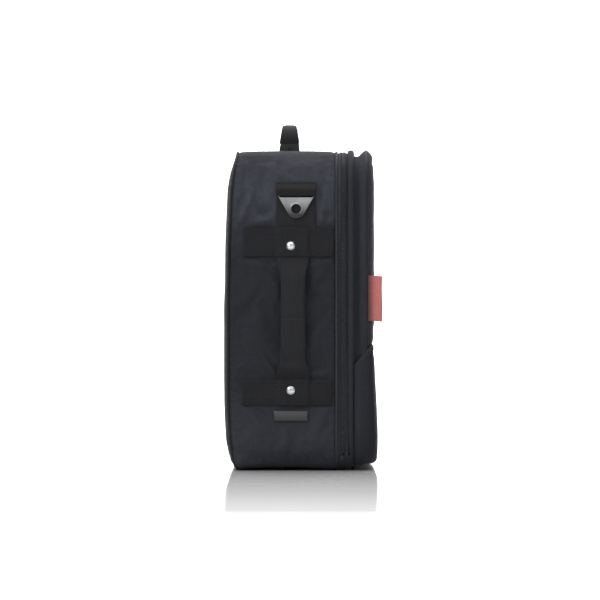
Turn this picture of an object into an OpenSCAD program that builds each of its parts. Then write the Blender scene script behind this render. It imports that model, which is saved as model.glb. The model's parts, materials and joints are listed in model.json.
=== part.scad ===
// Soft-sided studio-lighting kit case.
// X runs along the case, the lid faces -Y, Z is up from the floor.
// Millimetres. Origin on the floor, under the middle of the overall box.

/* [Body] */
// Length of the fabric body from end to end
body_l = 460; // [420:1:520]
// Height of the fabric body
body_h = 420; // [400:1:440]
// Corner radius of the body seen from the front
corner_r = 45; // [40:1:50]
// Thickness of the outer fabric
skin_t = 2; // [1.5:0.1:2]
// Thickness of the stiffener boards
board_t = 2; // [1.5:0.1:2]
// Thickness of the lined foam on the walls
foam_t = 8; // [6:0.5:9]
// Half thickness of the piping cords
pipe_r = 1.5; // [1.2:0.1:1.6]
// How far the piping stands out from the fabric
pipe_out = 0.4; // [0.2:0.1:0.6]

/* [Depth stations] */
// Depth position of the rear piping
y_rear = 92; // [88:0.5:94]
// Furthest point of the domed rear panel
y_dome = 102.4; // [100:0.1:104]
// Depth position of the body's front piping
y_front = -42.2; // [-44:0.1:-41]
// Depth position of the middle of the zip
y_zip = -52; // [-52.5:0.1:-51.5]
// Depth position of the lid piping
y_lidpipe = -81.2; // [-82:0.1:-80]

/* [End handles] */
// Middle of the end handle across the depth
grip_y = 15; // [10:0.5:18]
// Width of the end handle
grip_w = 33; // [28:1:36]
// Thickness of the end handle grip
grip_t = 4.6; // [4:0.1:6]
// Finger gap behind the end handle at rest
grip_gap = 5.2; // [4.8:0.1:7]
// Middle of the rivets across the depth
rivet_y = 18; // [14:0.5:22]
// Height of the upper rivet
rivet_hi = 296; // [294:0.5:300]
// Height of the lower rivet
rivet_lo = 106; // [102:0.5:108]

/* [Strap rings] */
// Middle of the strap ring across the depth
ring_y = 11; // [6:0.5:16]
// Height of the ring's hinge bar
ring_z = 367; // [365:0.5:368]
// Width of the webbing tab that holds the ring
tab_w = 44; // [40:1:48]
// Radius of the hook hole in the ring
ring_hole = 6.5; // [5.5:0.1:7]
// Plate thickness of the ring
ring_t = 3; // [2.4:0.1:3.2]

/* [Top handle] */
// Half distance between the handle pivots
hand_x = 92; // [80:1:110]
// Depth position of the handle
hand_y = 20; // [14:0.5:24]
// Height of the handle above the body top
hand_h = 40; // [36:1:44]

/* [Hidden] */

nseg = 8;              // facets in each rounded corner
end_x = body_l / 2;    // plane of the end panels
gap = 0.2;             // small clearance between layers
board_d = -skin_t - gap;              // outer face of the wall board
foam_d = board_d - board_t - gap;     // outer face of the wall foam
inner_d = foam_d - foam_t;            // clear inside of the case
y_wall0 = y_front + pipe_r;           // front edge of the body wall
y_wall1 = y_rear - pipe_r;            // rear edge of the body wall
y_back = y_rear - 0.5;                // rear face of the back board
y_in = y_back - board_t - gap - foam_t; // inside face of the back padding
zip_cut = 20;          // the zip ends at this height on both ends
lid_zb = 6;            // lid rim underside reference
lid_zf = 11;           // lid front underside reference
y_rim0 = y_zip - 5;    // rear face of the lid rim
y_rim1 = y_zip - 14;   // front face of the lid rim
y_lidf = y_lidpipe - pipe_r;          // rear face of the lid front panel
y_lido = y_lidf - 1.2;                // outer face of the lid front panel
hinge_y = y_zip - 1;
hinge_z = 3;
shank_r = 2;
cap_r = 5.6;
tongue_t = 2;
band_t = 1.5;
band_x = end_x + 2 * gap + tongue_t;  // inner face of a band over the strap
zip_z = body_h;                       // reference plane of the zip on top
slide_x = 11;                         // slider middle at rest
pin_z = body_h + 7.5;                 // top handle pivot height

// points on an arc
function arc(cx, cz, r, a0, a1, n) =
  [for (i = [0:n]) let (a = a0 + (a1 - a0) * i / n) [cx + r * cos(a), cz + r * sin(a)]];

// body outline seen from the front, moved out by d, with its underside at zb - d
function outline(d, zb = 0) =
  let (hx = body_l / 2 + d, zt = body_h + d, z0 = zb - d, r = max(corner_r + d, 6))
  concat(arc(hx - r, z0 + r, r, -90, 0, nseg), arc(hx - r, zt - r, r, 0, 90, nseg),
         arc(-hx + r, zt - r, r, 90, 180, nseg), arc(-hx + r, z0 + r, r, 180, 270, nseg));

// extrude an X-Z drawing from y0 to y1
module yext(y0, y1) { translate([0, y1, 0]) rotate([90, 0, 0]) linear_extrude(y1 - y0) children(); }
// extrude a Y-Z drawing from x0 to x1
module xext(x0, x1) { translate([x0, 0, 0]) rotate([90, 0, 90]) linear_extrude(x1 - x0) children(); }

module ring(d0, d1, y0, y1, zb = 0) {
  yext(y0, y1) difference() { polygon(outline(d0, zb)); polygon(outline(d1, zb)); }
}
// sewn joints where straight strips meet the corner pieces of a ring
module joins(y0, y1, zb = 0) {
  s = 0.1;
  for (x = [-1, 1]) translate([x * (end_x - corner_r) - s / 2, y0 - 1, -20]) cube([s, y1 - y0 + 2, body_h + 40]);
  for (z = [zb + corner_r, body_h - corner_r])
    translate([-end_x - 10, y0 - 1, z - s / 2]) cube([body_l + 20, y1 - y0 + 2, s]);
}
// three-sided run: both ends and the top
module run(d0, d1, y0, y1, zb = 0) {
  difference() {
    ring(d0, d1, y0, y1, zb);
    translate([-400, y0 - 1, -60]) cube([800, y1 - y0 + 2, 60 + zip_cut]);
  }
}
// cord round the outline with an eight-sided section
module cord_loop(d, yc, zb) {
  k = 8;
  rc = pipe_r / cos(180 / k);
  n = len(outline(0));
  pts = [for (i = [0:k - 1]) let (a = 22.5 + 45 * i)
         for (p = outline(d + rc * cos(a), zb)) [p[0], yc + rc * sin(a), p[1]]];
  polyhedron(pts, [for (i = [0:k - 1]) for (j = [0:n - 1])
    let (i2 = (i + 1) % k, j2 = (j + 1) % n)
    [i * n + j, i * n + j2, i2 * n + j2, i2 * n + j]]);
}
module both() { children(); mirror([1, 0, 0]) children(); }

// rivet positions, drilled along X through both ends
module side_holes(r) {
  for (z = [rivet_hi, rivet_lo])
    translate([-end_x - 20, rivet_y, z]) rotate([0, 90, 0]) cylinder(r = r, h = body_l + 40, $fn = 32);
}
hr = [[hand_x + 14, hand_y - 8], [hand_x + 14, hand_y + 8]];
module top_holes(r) {
  both() for (p = hr) translate([p[0], p[1], body_h - 30]) cylinder(r = r, h = 60, $fn = 32);
}

// ---------- body ----------
module body_wall() {
  color("#33343a") difference() {
    ring(0, -skin_t, y_wall0, y_wall1);
    joins(y_wall0, y_wall1);
    side_holes(shank_r + 0.15);
    top_holes(1.65);
  }
}
module dome(o, y0, top) {
  hull() {
    yext(y0, y0 + 0.4) polygon(outline(-0.6 - o));
    yext(y0 + (top - y0) * 0.55, y0 + (top - y0) * 0.55 + 0.4) polygon(outline(-15 - o));
    yext(top - 0.4, top) polygon(outline(-56 - o));
  }
}
module rear_panel() {
  color("#303137") difference() {
    dome(0, y_rear + pipe_r, y_dome);
    dome(skin_t + 0.6, y_rear + pipe_r - 0.5, y_dome - skin_t);
  }
}
module rear_piping() { color("#232427") cord_loop(pipe_out, y_rear, pipe_out + pipe_r); }
module front_piping() { color("#232427") cord_loop(pipe_out, y_front, pipe_out + pipe_r); }
module wall_board() {
  color("#b9b9b2") difference() {
    ring(board_d, board_d - board_t, y_wall0 + 0.7, y_back - board_t - gap);
    side_holes(shank_r + 0.15);
    top_holes(1.65);
  }
}
module back_board() { color("#b9b9b2") yext(y_back - board_t, y_back) polygon(outline(board_d, pipe_out + pipe_r)); }
module wall_foam() {
  color("#4c4e53") difference() {
    ring(foam_d, inner_d, y_wall0 + 2.7, y_back - board_t - gap);
    both() for (z = [rivet_hi, rivet_lo]) translate([end_x + foam_d - 2.6, rivet_y, z])
      rotate([0, 90, 0]) cylinder(r = 8, h = 10, $fn = 32);
    both() for (p = hr) translate([p[0], p[1], body_h + foam_d - 2.6]) cylinder(r = 6, h = 10, $fn = 32);
  }
}
module back_foam() { color("#4c4e53") dome(skin_t + 1.2, y_back + gap, y_dome - skin_t - 0.4); }
module back_pad() { color("#4c4e53") yext(y_in, y_back - board_t - gap) polygon(outline(inner_d - gap)); }

// ---------- dividers ----------
div_t = 12;
div_y0 = -30;
strip_t = 1.6;
z_lo = -inner_d;              // inside floor
z_hi = body_h + inner_d;      // inside roof
x_in = end_x + inner_d;       // inside of the ends
cross_l = 150;                // height of the left cross divider
cross_r = 250;                // height of the right cross divider
module centre_divider() {
  color("#55575c") translate([-div_t / 2, div_y0, z_lo + strip_t])
    cube([div_t, y_in - gap - div_y0, z_hi - z_lo - 2 * strip_t]);
}
fit = 0.3;                    // side play of a cross divider
cross_w = x_in - div_t / 2 - 2 * strip_t - 2 * fit;
module cross(z) {
  translate([div_t / 2 + strip_t + fit, div_y0, z]) cube([cross_w, y_in - 0.4 - div_y0, div_t]);
}
module cross_hooks(z) {
  for (x = [div_t / 2 + fit, x_in - strip_t - fit]) translate([x, 0, z]) cube([strip_t, 50, div_t]);
}
module left_cross_divider() { color("#55575c") mirror([1, 0, 0]) cross(cross_l); }
module right_cross_divider() { color("#55575c") cross(cross_r); }
module left_cross_hooks() { color("#2a2a2c") mirror([1, 0, 0]) cross_hooks(cross_l); }
module right_cross_hooks() { color("#2a2a2c") cross_hooks(cross_r); }
module centre_hook_strips() {
  color("#2a2a2c") for (z = [z_lo, z_hi - strip_t]) translate([-div_t / 2, 0, z]) cube([div_t, 50, strip_t]);
}

// ---------- zip, body side ----------
module zip_strip_body() { color("#26272b") ring(-1, -2.2, y_zip + 4.5, y_front - pipe_r); }
module zip_tape_body() { color("#1d1e20") run(-1.2, -2, y_zip + 0.8, y_zip + 4.5); }
module zip_coil_body() { color("#111111") run(0.6, -1.2, y_zip + 0.8, y_zip + 3.2); }
module zip_stops() {
  color("#8d8f93") both() translate([end_x - 14, y_zip + 0.9, zip_cut - 5]) cube([5, 3.4, 5]);
}
module hinge_cord() {
  color("#1d1e20") translate([-172, hinge_y, hinge_z]) rotate([0, 90, 0]) cylinder(r = 1.5, h = 344, $fn = 32);
}
module hinge_tabs() {
  color("#26272b") both() difference() {
    translate([155, hinge_y - 2.6, hinge_z - 2.5]) cube([15, y_zip + 4.5 - hinge_y + 2.6, 5]);
    translate([150, hinge_y, hinge_z]) rotate([0, 90, 0]) cylinder(r = 1.55, h = 30, $fn = 32);
  }
}

// ---------- top handle ----------
module anchor() {
  difference() {
    union() {
      translate([hand_x - 12, hand_y - 16, body_h]) cube([32, 32, 2.5]);
      for (x = [hand_x - 8.5, hand_x + 6.5]) {
        xext(x, x + 2) polygon([[hand_y - 13, body_h + 2.5], [hand_y + 13, body_h + 2.5], [hand_y + 5.2, pin_z + 3], [hand_y - 5.2, pin_z + 3]]);
        translate([x, hand_y, pin_z]) rotate([0, 90, 0]) cylinder(r = 6, h = 2, $fn = 48);
      }
    }
    translate([hand_x - 20, hand_y, pin_z]) rotate([0, 90, 0]) cylinder(r = 2.05, h = 40, $fn = 32);
    for (p = hr) translate([p[0], p[1], body_h - 5]) cylinder(r = 1.65, h = 20, $fn = 32);
  }
}
module handle_anchors() { color("#1b1c1e") both() anchor(); }
module handle_pins() {
  color("#9a9ca0") both() translate([hand_x - 9.5, hand_y, pin_z]) rotate([0, 90, 0]) cylinder(r = 2, h = 19, $fn = 32);
}
module handle_rivets() {
  color("#a9abb0") both() for (p = hr) translate([p[0], p[1], 0]) {
    translate([0, 0, body_h + 2.5]) cylinder(r = 3.4, h = 1.4, $fn = 32);
    translate([0, 0, body_h + foam_d + gap - 1.8]) cylinder(r = 1.5, h = 5 - foam_d - gap, $fn = 32);
  }
}
// handle section across the depth: narrow at the pivot, wide above it, then tapering
hz = body_h + hand_h;         // top of the handle strap
hsec = [[6, pin_z], [9.4, pin_z + 3.5], [12.8, pin_z + 7.5], [12.6, pin_z + 10.5], [11, hz - 14], [8.8, hz - 4], [7, hz]];
gsec = [[9, -10.5], [11.2, -9], [11, -6], [10, -1.5], [8.4, 0.8], [6, 1.5]];   // padded sleeve round it
module handle_section(o) {
  translate([hand_y, 0]) polygon(concat([for (p = hsec) [p[0] + o, p[1] + (p[1] > hz - 1 ? o : 0)]],
    [for (i = [len(hsec) - 1:-1:0]) [-hsec[i][0] - o, hsec[i][1] + (hsec[i][1] > hz - 1 ? o : 0)]]));
}
module handle_arch() {
  o = hand_x + 5;
  i = hand_x - 5;
  yext(hand_y - 20, hand_y + 20) polygon(concat(
    [[o, pin_z]], arc(o - 20, hz - 20, 20, 0, 90, 8), arc(-o + 20, hz - 20, 20, 90, 180, 8), [[-o, pin_z]],
    [[-i, pin_z]], arc(-i + 14, hz - 22.5, 14, 180, 90, 6), arc(i - 14, hz - 22.5, 14, 90, 0, 6), [[i, pin_z]]));
}
module top_handle_strap() {
  color("#222327") difference() {
    union() {
      intersection() { handle_arch(); xext(-140, 140) handle_section(0); }
      both() translate([hand_x - 6, hand_y, pin_z]) rotate([0, 90, 0]) cylinder(r = 4.5, h = 12, $fn = 48);
    }
    both() translate([hand_x - 15, hand_y, pin_z]) rotate([0, 90, 0]) cylinder(r = 2.08, h = 30, $fn = 32);
  }
}
module top_handle_grip() {
  color("#2b2c30") xext(-58, 58) difference() {
    translate([hand_y, 0]) polygon(concat([for (p = gsec) [p[0], hz + p[1]]],
      [for (i = [len(gsec) - 1:-1:0]) [-gsec[i][0], hz + gsec[i][1]]]));
    intersection() {
      handle_section(0.15);
      translate([hand_y - 20, hz - 8.65]) square([40, 20]);
    }
  }
}

// ---------- end fittings, drawn for the left end and mirrored ----------
module ring_tab() {
  x = -end_x - 3.5;
  color("#1e1f22") difference() {
    union() {
      translate([x, ring_y - tab_w / 2, ring_z]) rotate([-90, 0, 0]) cylinder(r = 3.4, h = tab_w, $fn = 48);
      yext(ring_y - tab_w / 2, ring_y + tab_w / 2) polygon([[-end_x, rivet_hi + 25.2], [-end_x, ring_z + 10],
        [-end_x - 3, ring_z + 10], [x - 3.2, ring_z + 1], [x, ring_z], [-end_x - 1.2, ring_z - 1], [-end_x - 1.2, rivet_hi + 25.2]]);
    }
    translate([x, ring_y - 40, ring_z]) rotate([-90, 0, 0]) cylinder(r = 2.08, h = 80, $fn = 32);
  }
}
// band across the end, raised where it covers the strap end
module band(z0, z1, ya, yb) {
  w = grip_w / 2 + 2.2;
  a = grip_y - w;
  b = grip_y + w;
  xi = -band_x;
  color("#232428") difference() {
    translate([0, 0, z0]) linear_extrude(z1 - z0) polygon([
      [-end_x, ya], [-end_x, a - 4], [xi, a], [xi, b], [-end_x, b + 4], [-end_x, yb],
      [-end_x - band_t, yb], [-end_x - band_t, b + 4.8], [xi - band_t, b + 0.8],
      [xi - band_t, a - 0.8], [-end_x - band_t, a - 4.8], [-end_x - band_t, ya]]);
    side_holes(shank_r + 0.15);
  }
}
grip_z0 = 146;               // lower end of the grip
grip_z1 = 256;               // upper end of the grip
module left_upper_band() { band(281.5, 321, -38.5, 80); }
module left_lower_band() { band(86, 120.5, -36, 81); }
// flat tongue under the band, then a ramp out to the grip
module strap_end(s, zr, zedge, zgrip) {
  x0 = -end_x - gap;
  difference() {
    yext(grip_y - grip_w / 2, grip_y + grip_w / 2) polygon([
      [x0, zr + s * 14], [x0 - tongue_t, zr + s * 14], [x0 - tongue_t, zedge - s * 1],
      [-end_x - grip_gap - grip_t, zgrip + s * 3], [-end_x - grip_gap - grip_t, zgrip],
      [-end_x - grip_gap, zgrip], [-end_x - grip_gap, zgrip + s * 3], [x0, zedge - s * 4]]);
    translate([-end_x - 10, rivet_y - 2.4, zr - 9]) cube([20, 4.8, 18]);
  }
}
module left_strap_ends() {
  color("#26272b") {
    strap_end(1, rivet_hi, 281.5, grip_z1);
    strap_end(-1, rivet_lo, 120.5, grip_z0);
  }
}
module left_ring_tab() { ring_tab(); }
module right_ring_tab() { mirror([1, 0, 0]) ring_tab(); }
module right_upper_band() { mirror([1, 0, 0]) left_upper_band(); }
module right_lower_band() { mirror([1, 0, 0]) left_lower_band(); }
module right_strap_ends() { mirror([1, 0, 0]) left_strap_ends(); }
// soft-edged bar
module left_side_grip() {
  c = 1.6;
  x0 = -end_x - grip_gap;
  y0 = grip_y - grip_w / 2;
  y1 = grip_y + grip_w / 2;
  color("#2b2c31") translate([0, 0, grip_z0]) linear_extrude(grip_z1 - grip_z0) polygon([
    [x0, y0 + c], [x0, y1 - c], [x0 - c, y1], [x0 - grip_t + c, y1], [x0 - grip_t, y1 - c],
    [x0 - grip_t, y0 + c], [x0 - grip_t + c, y0], [x0 - c, y0]]);
}
module right_side_grip() { mirror([1, 0, 0]) left_side_grip(); }
// domed cap, shank and clenched end
module rivet() {
  rotate([0, -90, 0]) {
    rotate_extrude($fn = 48) polygon([[0, 0], [cap_r, 0], [cap_r, 0.5], [cap_r - 0.5, 1.2], [cap_r - 1.6, 1.9], [cap_r - 3.2, 2.4], [0, 2.6]]);
    translate([0, 0, -band_x - band_t + end_x + foam_d + gap - 2]) cylinder(r = shank_r, h = band_x + band_t - end_x - foam_d - gap + 2.5, $fn = 32);
  }
}
module side_rivets() {
  color("#c9ccd0") both() for (z = [rivet_hi, rivet_lo]) translate([-band_x - band_t, rivet_y, z]) rivet();
}
module rivet_washers() {
  color("#a9abb0") {
    both() for (z = [rivet_hi, rivet_lo]) translate([-end_x - foam_d - gap, rivet_y, z]) rotate([0, 90, 0])
      difference() { cylinder(r = 6.5, h = 1, $fn = 48); translate([0, 0, -1]) cylinder(r = shank_r + 0.1, h = 4, $fn = 32); }
    both() for (p = hr) translate([p[0], p[1], body_h + foam_d + gap - 1])
      difference() { cylinder(r = 5, h = 1, $fn = 48); translate([0, 0, -1]) cylinder(r = 1.6, h = 4, $fn = 32); }
  }
}
module label_patch() {
  color("#6a6b6f") translate([-end_x - 1.6, rivet_y - 23, 64]) cube([1.6, 46, 16]);
}
// stamped plate: round bar on top, two legs, tapering plate with a hook hole
module strap_ring() {
  x = -end_x - 3.5;
  hz0 = ring_z - 22.5;      // middle of the hook hole
  pr = 12;                  // plate radius round the hole
  d = [26.5, 21.5];
  ta = atan2(d[1], d[0]) - acos(pr / norm(d));
  color("#b9bcc0") difference() {
    union() {
      translate([0, ring_y, 0]) xext(x - ring_t / 2, x + ring_t / 2) polygon(concat(
        [[-26.5, ring_z - 1], [-25, ring_z + 1], [-22.6, ring_z + 1], [-22.6, ring_z - 7], [22.6, ring_z - 7],
         [22.6, ring_z + 1], [25, ring_z + 1], [26.5, ring_z - 1]], arc(0, hz0, pr, ta, -180 - ta, 20)));
      translate([x, ring_y - 25.5, ring_z]) rotate([-90, 0, 0]) cylinder(r = 2, h = 51, $fn = 32);
    }
    translate([x - 10, ring_y, hz0]) rotate([0, 90, 0]) cylinder(r = ring_hole, h = 20, $fn = 64);
  }
}
module left_strap_ring() { strap_ring(); }
module right_strap_ring() { mirror([1, 0, 0]) strap_ring(); }

// ---------- lid ----------
module lid_rim() {
  color("#35363c") difference() {
    yext(y_rim1, y_rim0) difference() { polygon(outline(1.4, lid_zb)); polygon(outline(-5.4, lid_zf)); }
    joins(y_rim1, y_rim0, lid_zf);
  }
}
module lid_wall() {
  color("#2c2d32") difference() {
    union() {
      ring(-5.5, -7.5, y_lidf, y_rim0, lid_zf);
      ring(-3.3, -5.5, y_lidf, y_lidpipe + pipe_r, lid_zf);
    }
    joins(y_lidf, y_rim0, lid_zf);
  }
}
module lid_piping() { color("#232427") cord_loop(-1.6, y_lidpipe, lid_zf); }
module lid_front_panel() { color("#303136") yext(y_lido, y_lidf) polygon(outline(-1, lid_zf)); }
pad_z0 = 182;
function pad_outline(d) = let (hx = end_x - 12 - d, zt = body_h - 14 - d, z0 = pad_z0 + d, r = max(30 - d, 4))
  concat(arc(hx - 8, z0 + 8, 8, -90, 0, 4), arc(hx - r, zt - r, r, 0, 90, nseg),
         arc(-hx + r, zt - r, r, 90, 180, nseg), arc(-hx + 8, z0 + 8, 8, 180, 270, 4));
module lid_upper_pad() {
  color("#323338") hull() {
    yext(y_lido - 0.8, y_lido) polygon(pad_outline(0));
    yext(y_lido - 3.4, y_lido - 3) polygon(pad_outline(10));
    yext(y_lido - 5, y_lido - 4.6) polygon(pad_outline(34));
  }
}
module lid_board() { color("#b9b9b2") yext(y_lidf + gap, y_lidf + gap + board_t) polygon(outline(-7.7, lid_zf)); }
module lid_foam() { color("#4c4e53") yext(y_lidf + 2 * gap + board_t, y_lidf + 2 * gap + board_t + 10) polygon(outline(-7.7, lid_zf)); }
pocket_z = 164;              // front mouth height of the pocket
pocket_zs = 138;             // mouth height where the side meets the rim
py_top = y_lido - 5.9;       // outer face of the pocket at its mouth
py_bot = y_lido - 12;        // outer face of the pocket at its foot
py_in = y_rim1 - gap;        // rear edge of the pocket's side
module front_pocket() {
  color("#2f3035") difference() {
    intersection() {
      yext(py_bot - 2, py_in) polygon(outline(1.6, lid_zf));
      xext(-300, 300) polygon([[py_in, -5], [py_in, pocket_zs], [py_top + 2, pocket_z], [py_top, pocket_z], [py_bot, 8], [py_bot, -5]]);
    }
    intersection() {
      yext(py_bot - 4, py_in + 4) polygon(outline(0.1, lid_zf));
      xext(-300, 300) polygon([[py_in + 5, -9], [py_in + 5, 250], [py_top + 1.5, 250], [py_top + 1.5, pocket_z], [py_bot + 1.5, 8], [py_bot + 1.5, -9]]);
    }
  }
}
// bound edge along the pocket mouth
module pocket_binding() {
  color("#232427") xext(-end_x + 6, end_x - 6)
    polygon([[py_top - 0.7, pocket_z - 9], [py_top - 0.7, pocket_z + 1.2], [py_top + 1.5, pocket_z + 1.2],
             [py_top + 1.5, pocket_z], [py_top, pocket_z], [py_top - 0.42, pocket_z - 9]]);
}
module red_tag() {
  color("#c0392f") translate([-end_x + 1.2, -102.4, 197]) cube([1, 102.4 + y_lido, 60]);
}
module zip_tape_lid() { color("#1d1e20") run(-1.2, -2, y_rim0, y_zip - 0.8); }
module zip_coil_lid() { color("#111111") run(0.6, -1.2, y_zip - 3.2, y_zip - 0.8); }
module hinge_sleeve() {
  color("#26272b") difference() {
    union() {
      translate([-150, hinge_y, hinge_z]) rotate([0, 90, 0]) cylinder(r = 2.6, h = 300, $fn = 48);
      translate([-150, y_rim0, hinge_z + 1.5]) cube([300, hinge_y - y_rim0, 1.3]);
    }
    translate([-160, hinge_y, hinge_z]) rotate([0, 90, 0]) cylinder(r = 1.58, h = 320, $fn = 32);
  }
}

// ---------- zip sliders and pulls, drawn for the right one ----------
module slider() {
  color("#26272a") translate([slide_x, y_zip, zip_z]) {
    difference() {
      union() {
        translate([-8, -4.8, 0.9]) cube([16, 9.6, 1.3]);
        translate([-8, -4, -3.6]) cube([16, 8, 1.2]);
        translate([-7, -0.6, -2.6]) cube([6, 1.2, 3.8]);
        translate([-8, 3.6, -0.9]) cube([16, 1.2, 2]);
        for (y = [-3.4, 2.3]) {
          translate([-2.5, y, 2]) cube([5, 1.1, 2.2]);
          translate([0, y, 4.2]) rotate([-90, 0, 0]) cylinder(r = 1.9, h = 1.1, $fn = 32);
        }
        translate([0, -3, 4.2]) rotate([-90, 0, 0]) cylinder(r = 0.8, h = 6, $fn = 32);
      }
    }
  }
}
// eye on the slider's pin, flat tab with a cord hole
module pull() {
  color("#3a3b3f") translate([slide_x, y_zip, zip_z + 4.2]) difference() {
    union() {
      translate([0, -2, 0]) rotate([-90, 0, 0]) cylinder(r = 1.7, h = 4, $fn = 32);
      translate([0, -2, -0.7]) cube([8, 4, 1.4]);
      translate([7, -3.5, -0.7]) cube([23, 7, 1.4]);
    }
    translate([0, -5, 0]) rotate([-90, 0, 0]) cylinder(r = 0.88, h = 10, $fn = 32);
    translate([26, 0, -3]) cylinder(r = 1.6, h = 6, $fn = 32);
  }
}
module left_zip_slider() { mirror([1, 0, 0]) slider(); }
module right_zip_slider() { slider(); }
module left_zip_pull() { mirror([1, 0, 0]) pull(); }
module right_zip_pull() { pull(); }

body_wall();
rear_panel();
rear_piping();
front_piping();
wall_board();
back_board();
wall_foam();
back_foam();
back_pad();
centre_divider();
centre_hook_strips();
left_cross_divider();
left_cross_hooks();
right_cross_divider();
right_cross_hooks();
zip_strip_body();
zip_tape_body();
zip_coil_body();
zip_stops();
hinge_cord();
hinge_tabs();
handle_anchors();
handle_pins();
handle_rivets();
left_ring_tab();
left_upper_band();
left_lower_band();
left_strap_ends();
right_ring_tab();
right_upper_band();
right_lower_band();
right_strap_ends();
side_rivets();
rivet_washers();
label_patch();
lid_rim();
lid_wall();
lid_piping();
lid_front_panel();
lid_upper_pad();
lid_board();
lid_foam();
front_pocket();
pocket_binding();
red_tag();
zip_tape_lid();
zip_coil_lid();
hinge_sleeve();
left_zip_slider();
right_zip_slider();
left_zip_pull();
right_zip_pull();
top_handle_strap();
top_handle_grip();
left_strap_ring();
right_strap_ring();
left_side_grip();
right_side_grip();
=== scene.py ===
import bpy, bmesh, json, math
import numpy as np
from mathutils import Vector, Matrix, noise


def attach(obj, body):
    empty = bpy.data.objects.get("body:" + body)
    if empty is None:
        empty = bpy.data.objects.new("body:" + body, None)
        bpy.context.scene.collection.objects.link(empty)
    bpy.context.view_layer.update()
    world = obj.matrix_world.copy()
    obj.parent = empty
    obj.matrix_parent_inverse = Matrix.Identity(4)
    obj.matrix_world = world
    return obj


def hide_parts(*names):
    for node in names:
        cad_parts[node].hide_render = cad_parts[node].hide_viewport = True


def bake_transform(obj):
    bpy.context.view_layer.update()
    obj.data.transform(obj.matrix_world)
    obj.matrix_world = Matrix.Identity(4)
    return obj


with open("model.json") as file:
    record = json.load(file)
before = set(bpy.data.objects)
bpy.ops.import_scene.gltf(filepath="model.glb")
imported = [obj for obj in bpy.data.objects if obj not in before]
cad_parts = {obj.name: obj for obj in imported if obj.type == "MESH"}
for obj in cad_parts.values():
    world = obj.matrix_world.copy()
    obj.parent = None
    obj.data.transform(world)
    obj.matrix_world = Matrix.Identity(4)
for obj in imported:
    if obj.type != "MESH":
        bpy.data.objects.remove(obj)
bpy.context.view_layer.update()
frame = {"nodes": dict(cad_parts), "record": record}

MM = 0.001
PI = math.pi
NODES = frame["nodes"]

# ------------------------------------------------------------------ numbers (mm), as in the part
L, H, R = 460.0, 420.0, 45.0
EX = L / 2
Y_REAR, Y_DOME, Y_FRONT, Y_ZIP, Y_LP = 92.0, 102.4, -42.2, -52.0, -81.2
Y_RIM0, Y_RIM1, Y_LF, Y_LO = Y_ZIP - 5, Y_ZIP - 14, Y_LP - 1.5, Y_LP - 2.7
ZB_RIM, ZB_LID = 6.0, 11.0
RING_Y, RING_Z = 11.0, 367.0
GRIP_Y, GRIP_W, RIV_Y, RIV_HI, RIV_LO = 15.0, 33.0, 18.0, 296.0, 106.0
HAND_X, HAND_Y, PIN_Z, HZ = 92.0, 20.0, 427.5, 460.0
Y_IN = 81.3
D_IN = -12.4


def nz(x, y, z, s, seed=0.0):
    return noise.noise(Vector((x / s + 13.7 * seed, y / s + 7.3 * seed, z / s - 5.1 * seed)))


def rear_y(z):
    """Depth of the rear seam: the stuffed body is deepest in its middle and drawn in at the top and the foot."""
    return np.interp(z, [0, 6, 13, 40, 92, 224, 304, 370, 395, 409, 420], [89.0, 91.8, 94.2, 98.6, 101.2, 101.2, 99.8, 96.2, 93.0, 90.4, 88.2])


def sstep(a, b, x):
    t = np.clip((x - a) / (b - a), 0, 1)
    return t * t * (3 - 2 * t)


# ------------------------------------------------------------------ mesh helpers
def make(name, V, F, mat, body=None, uv=None, smooth=True, replaces=(), fix=True):
    """V in mm. uv: one (u, v) in metres for each face corner, flattened in face order."""
    me = bpy.data.meshes.new(name)
    me.from_pydata((np.asarray(V, float) * MM).tolist(), [], [tuple(f) for f in F])
    if uv is not None:
        lay = me.uv_layers.new(name="weave")
        lay.uv.foreach_set("vector", np.asarray(uv, np.float32).ravel())
    if fix:
        bm = bmesh.new()
        bm.from_mesh(me)
        bmesh.ops.recalc_face_normals(bm, faces=bm.faces)
        bm.to_mesh(me)
        bm.free()
    me.polygons.foreach_set("use_smooth", [smooth] * len(me.polygons))
    me.update()
    ob = bpy.data.objects.new(name, me)
    bpy.context.scene.collection.objects.link(ob)
    if mat is not None:
        me.materials.append(mat)
    rep = [n for n in replaces if n in NODES]
    if rep:
        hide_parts(*rep)
    if body:
        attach(ob, body)
    return ob


def grid(P, closed_u=False, closed_v=False, flip=False, U=None, Vv=None):
    """Faces and face-corner uvs of an (nu, nv, 3) array of points."""
    nu, nv = P.shape[:2]
    iu = np.arange(nu if closed_u else nu - 1)
    jv = np.arange(nv if closed_v else nv - 1)
    I, J = np.meshgrid(iu, jv, indexing="ij")
    I, J = I.ravel(), J.ravel()
    I2, J2 = (I + 1) % nu, (J + 1) % nv
    a, b, c, d = I * nv + J, I2 * nv + J, I2 * nv + J2, I * nv + J2
    F = np.stack([a, b, c, d], 1)
    if U is None:
        U = np.arange(nu + 1) * 0.003
    if Vv is None:
        Vv = np.arange(nv + 1) * 0.003
    U, Vv = np.asarray(U, float), np.asarray(Vv, float)
    if U.ndim == 1:
        ua, ub = U[I], U[I + 1]
        uv = np.stack([np.stack([ua, Vv[J]], 1), np.stack([ub, Vv[J]], 1),
                       np.stack([ub, Vv[J + 1]], 1), np.stack([ua, Vv[J + 1]], 1)], 1)
    else:
        uv = np.stack([np.stack([U[p, q], Vv[p, q]], 1) for p, q in ((I, J), (I2, J), (I2, J2), (I, J2))], 1)
    if flip:
        F = F[:, ::-1]
        uv = uv[:, ::-1]
    return P.reshape(-1, 3), F, uv.reshape(-1, 2)


def solid(ob, t, offset=-1.0):
    m = ob.modifiers.new("thick", "SOLIDIFY")
    m.thickness = t * MM
    m.offset = offset
    m.use_even_offset = False
    return ob


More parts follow.
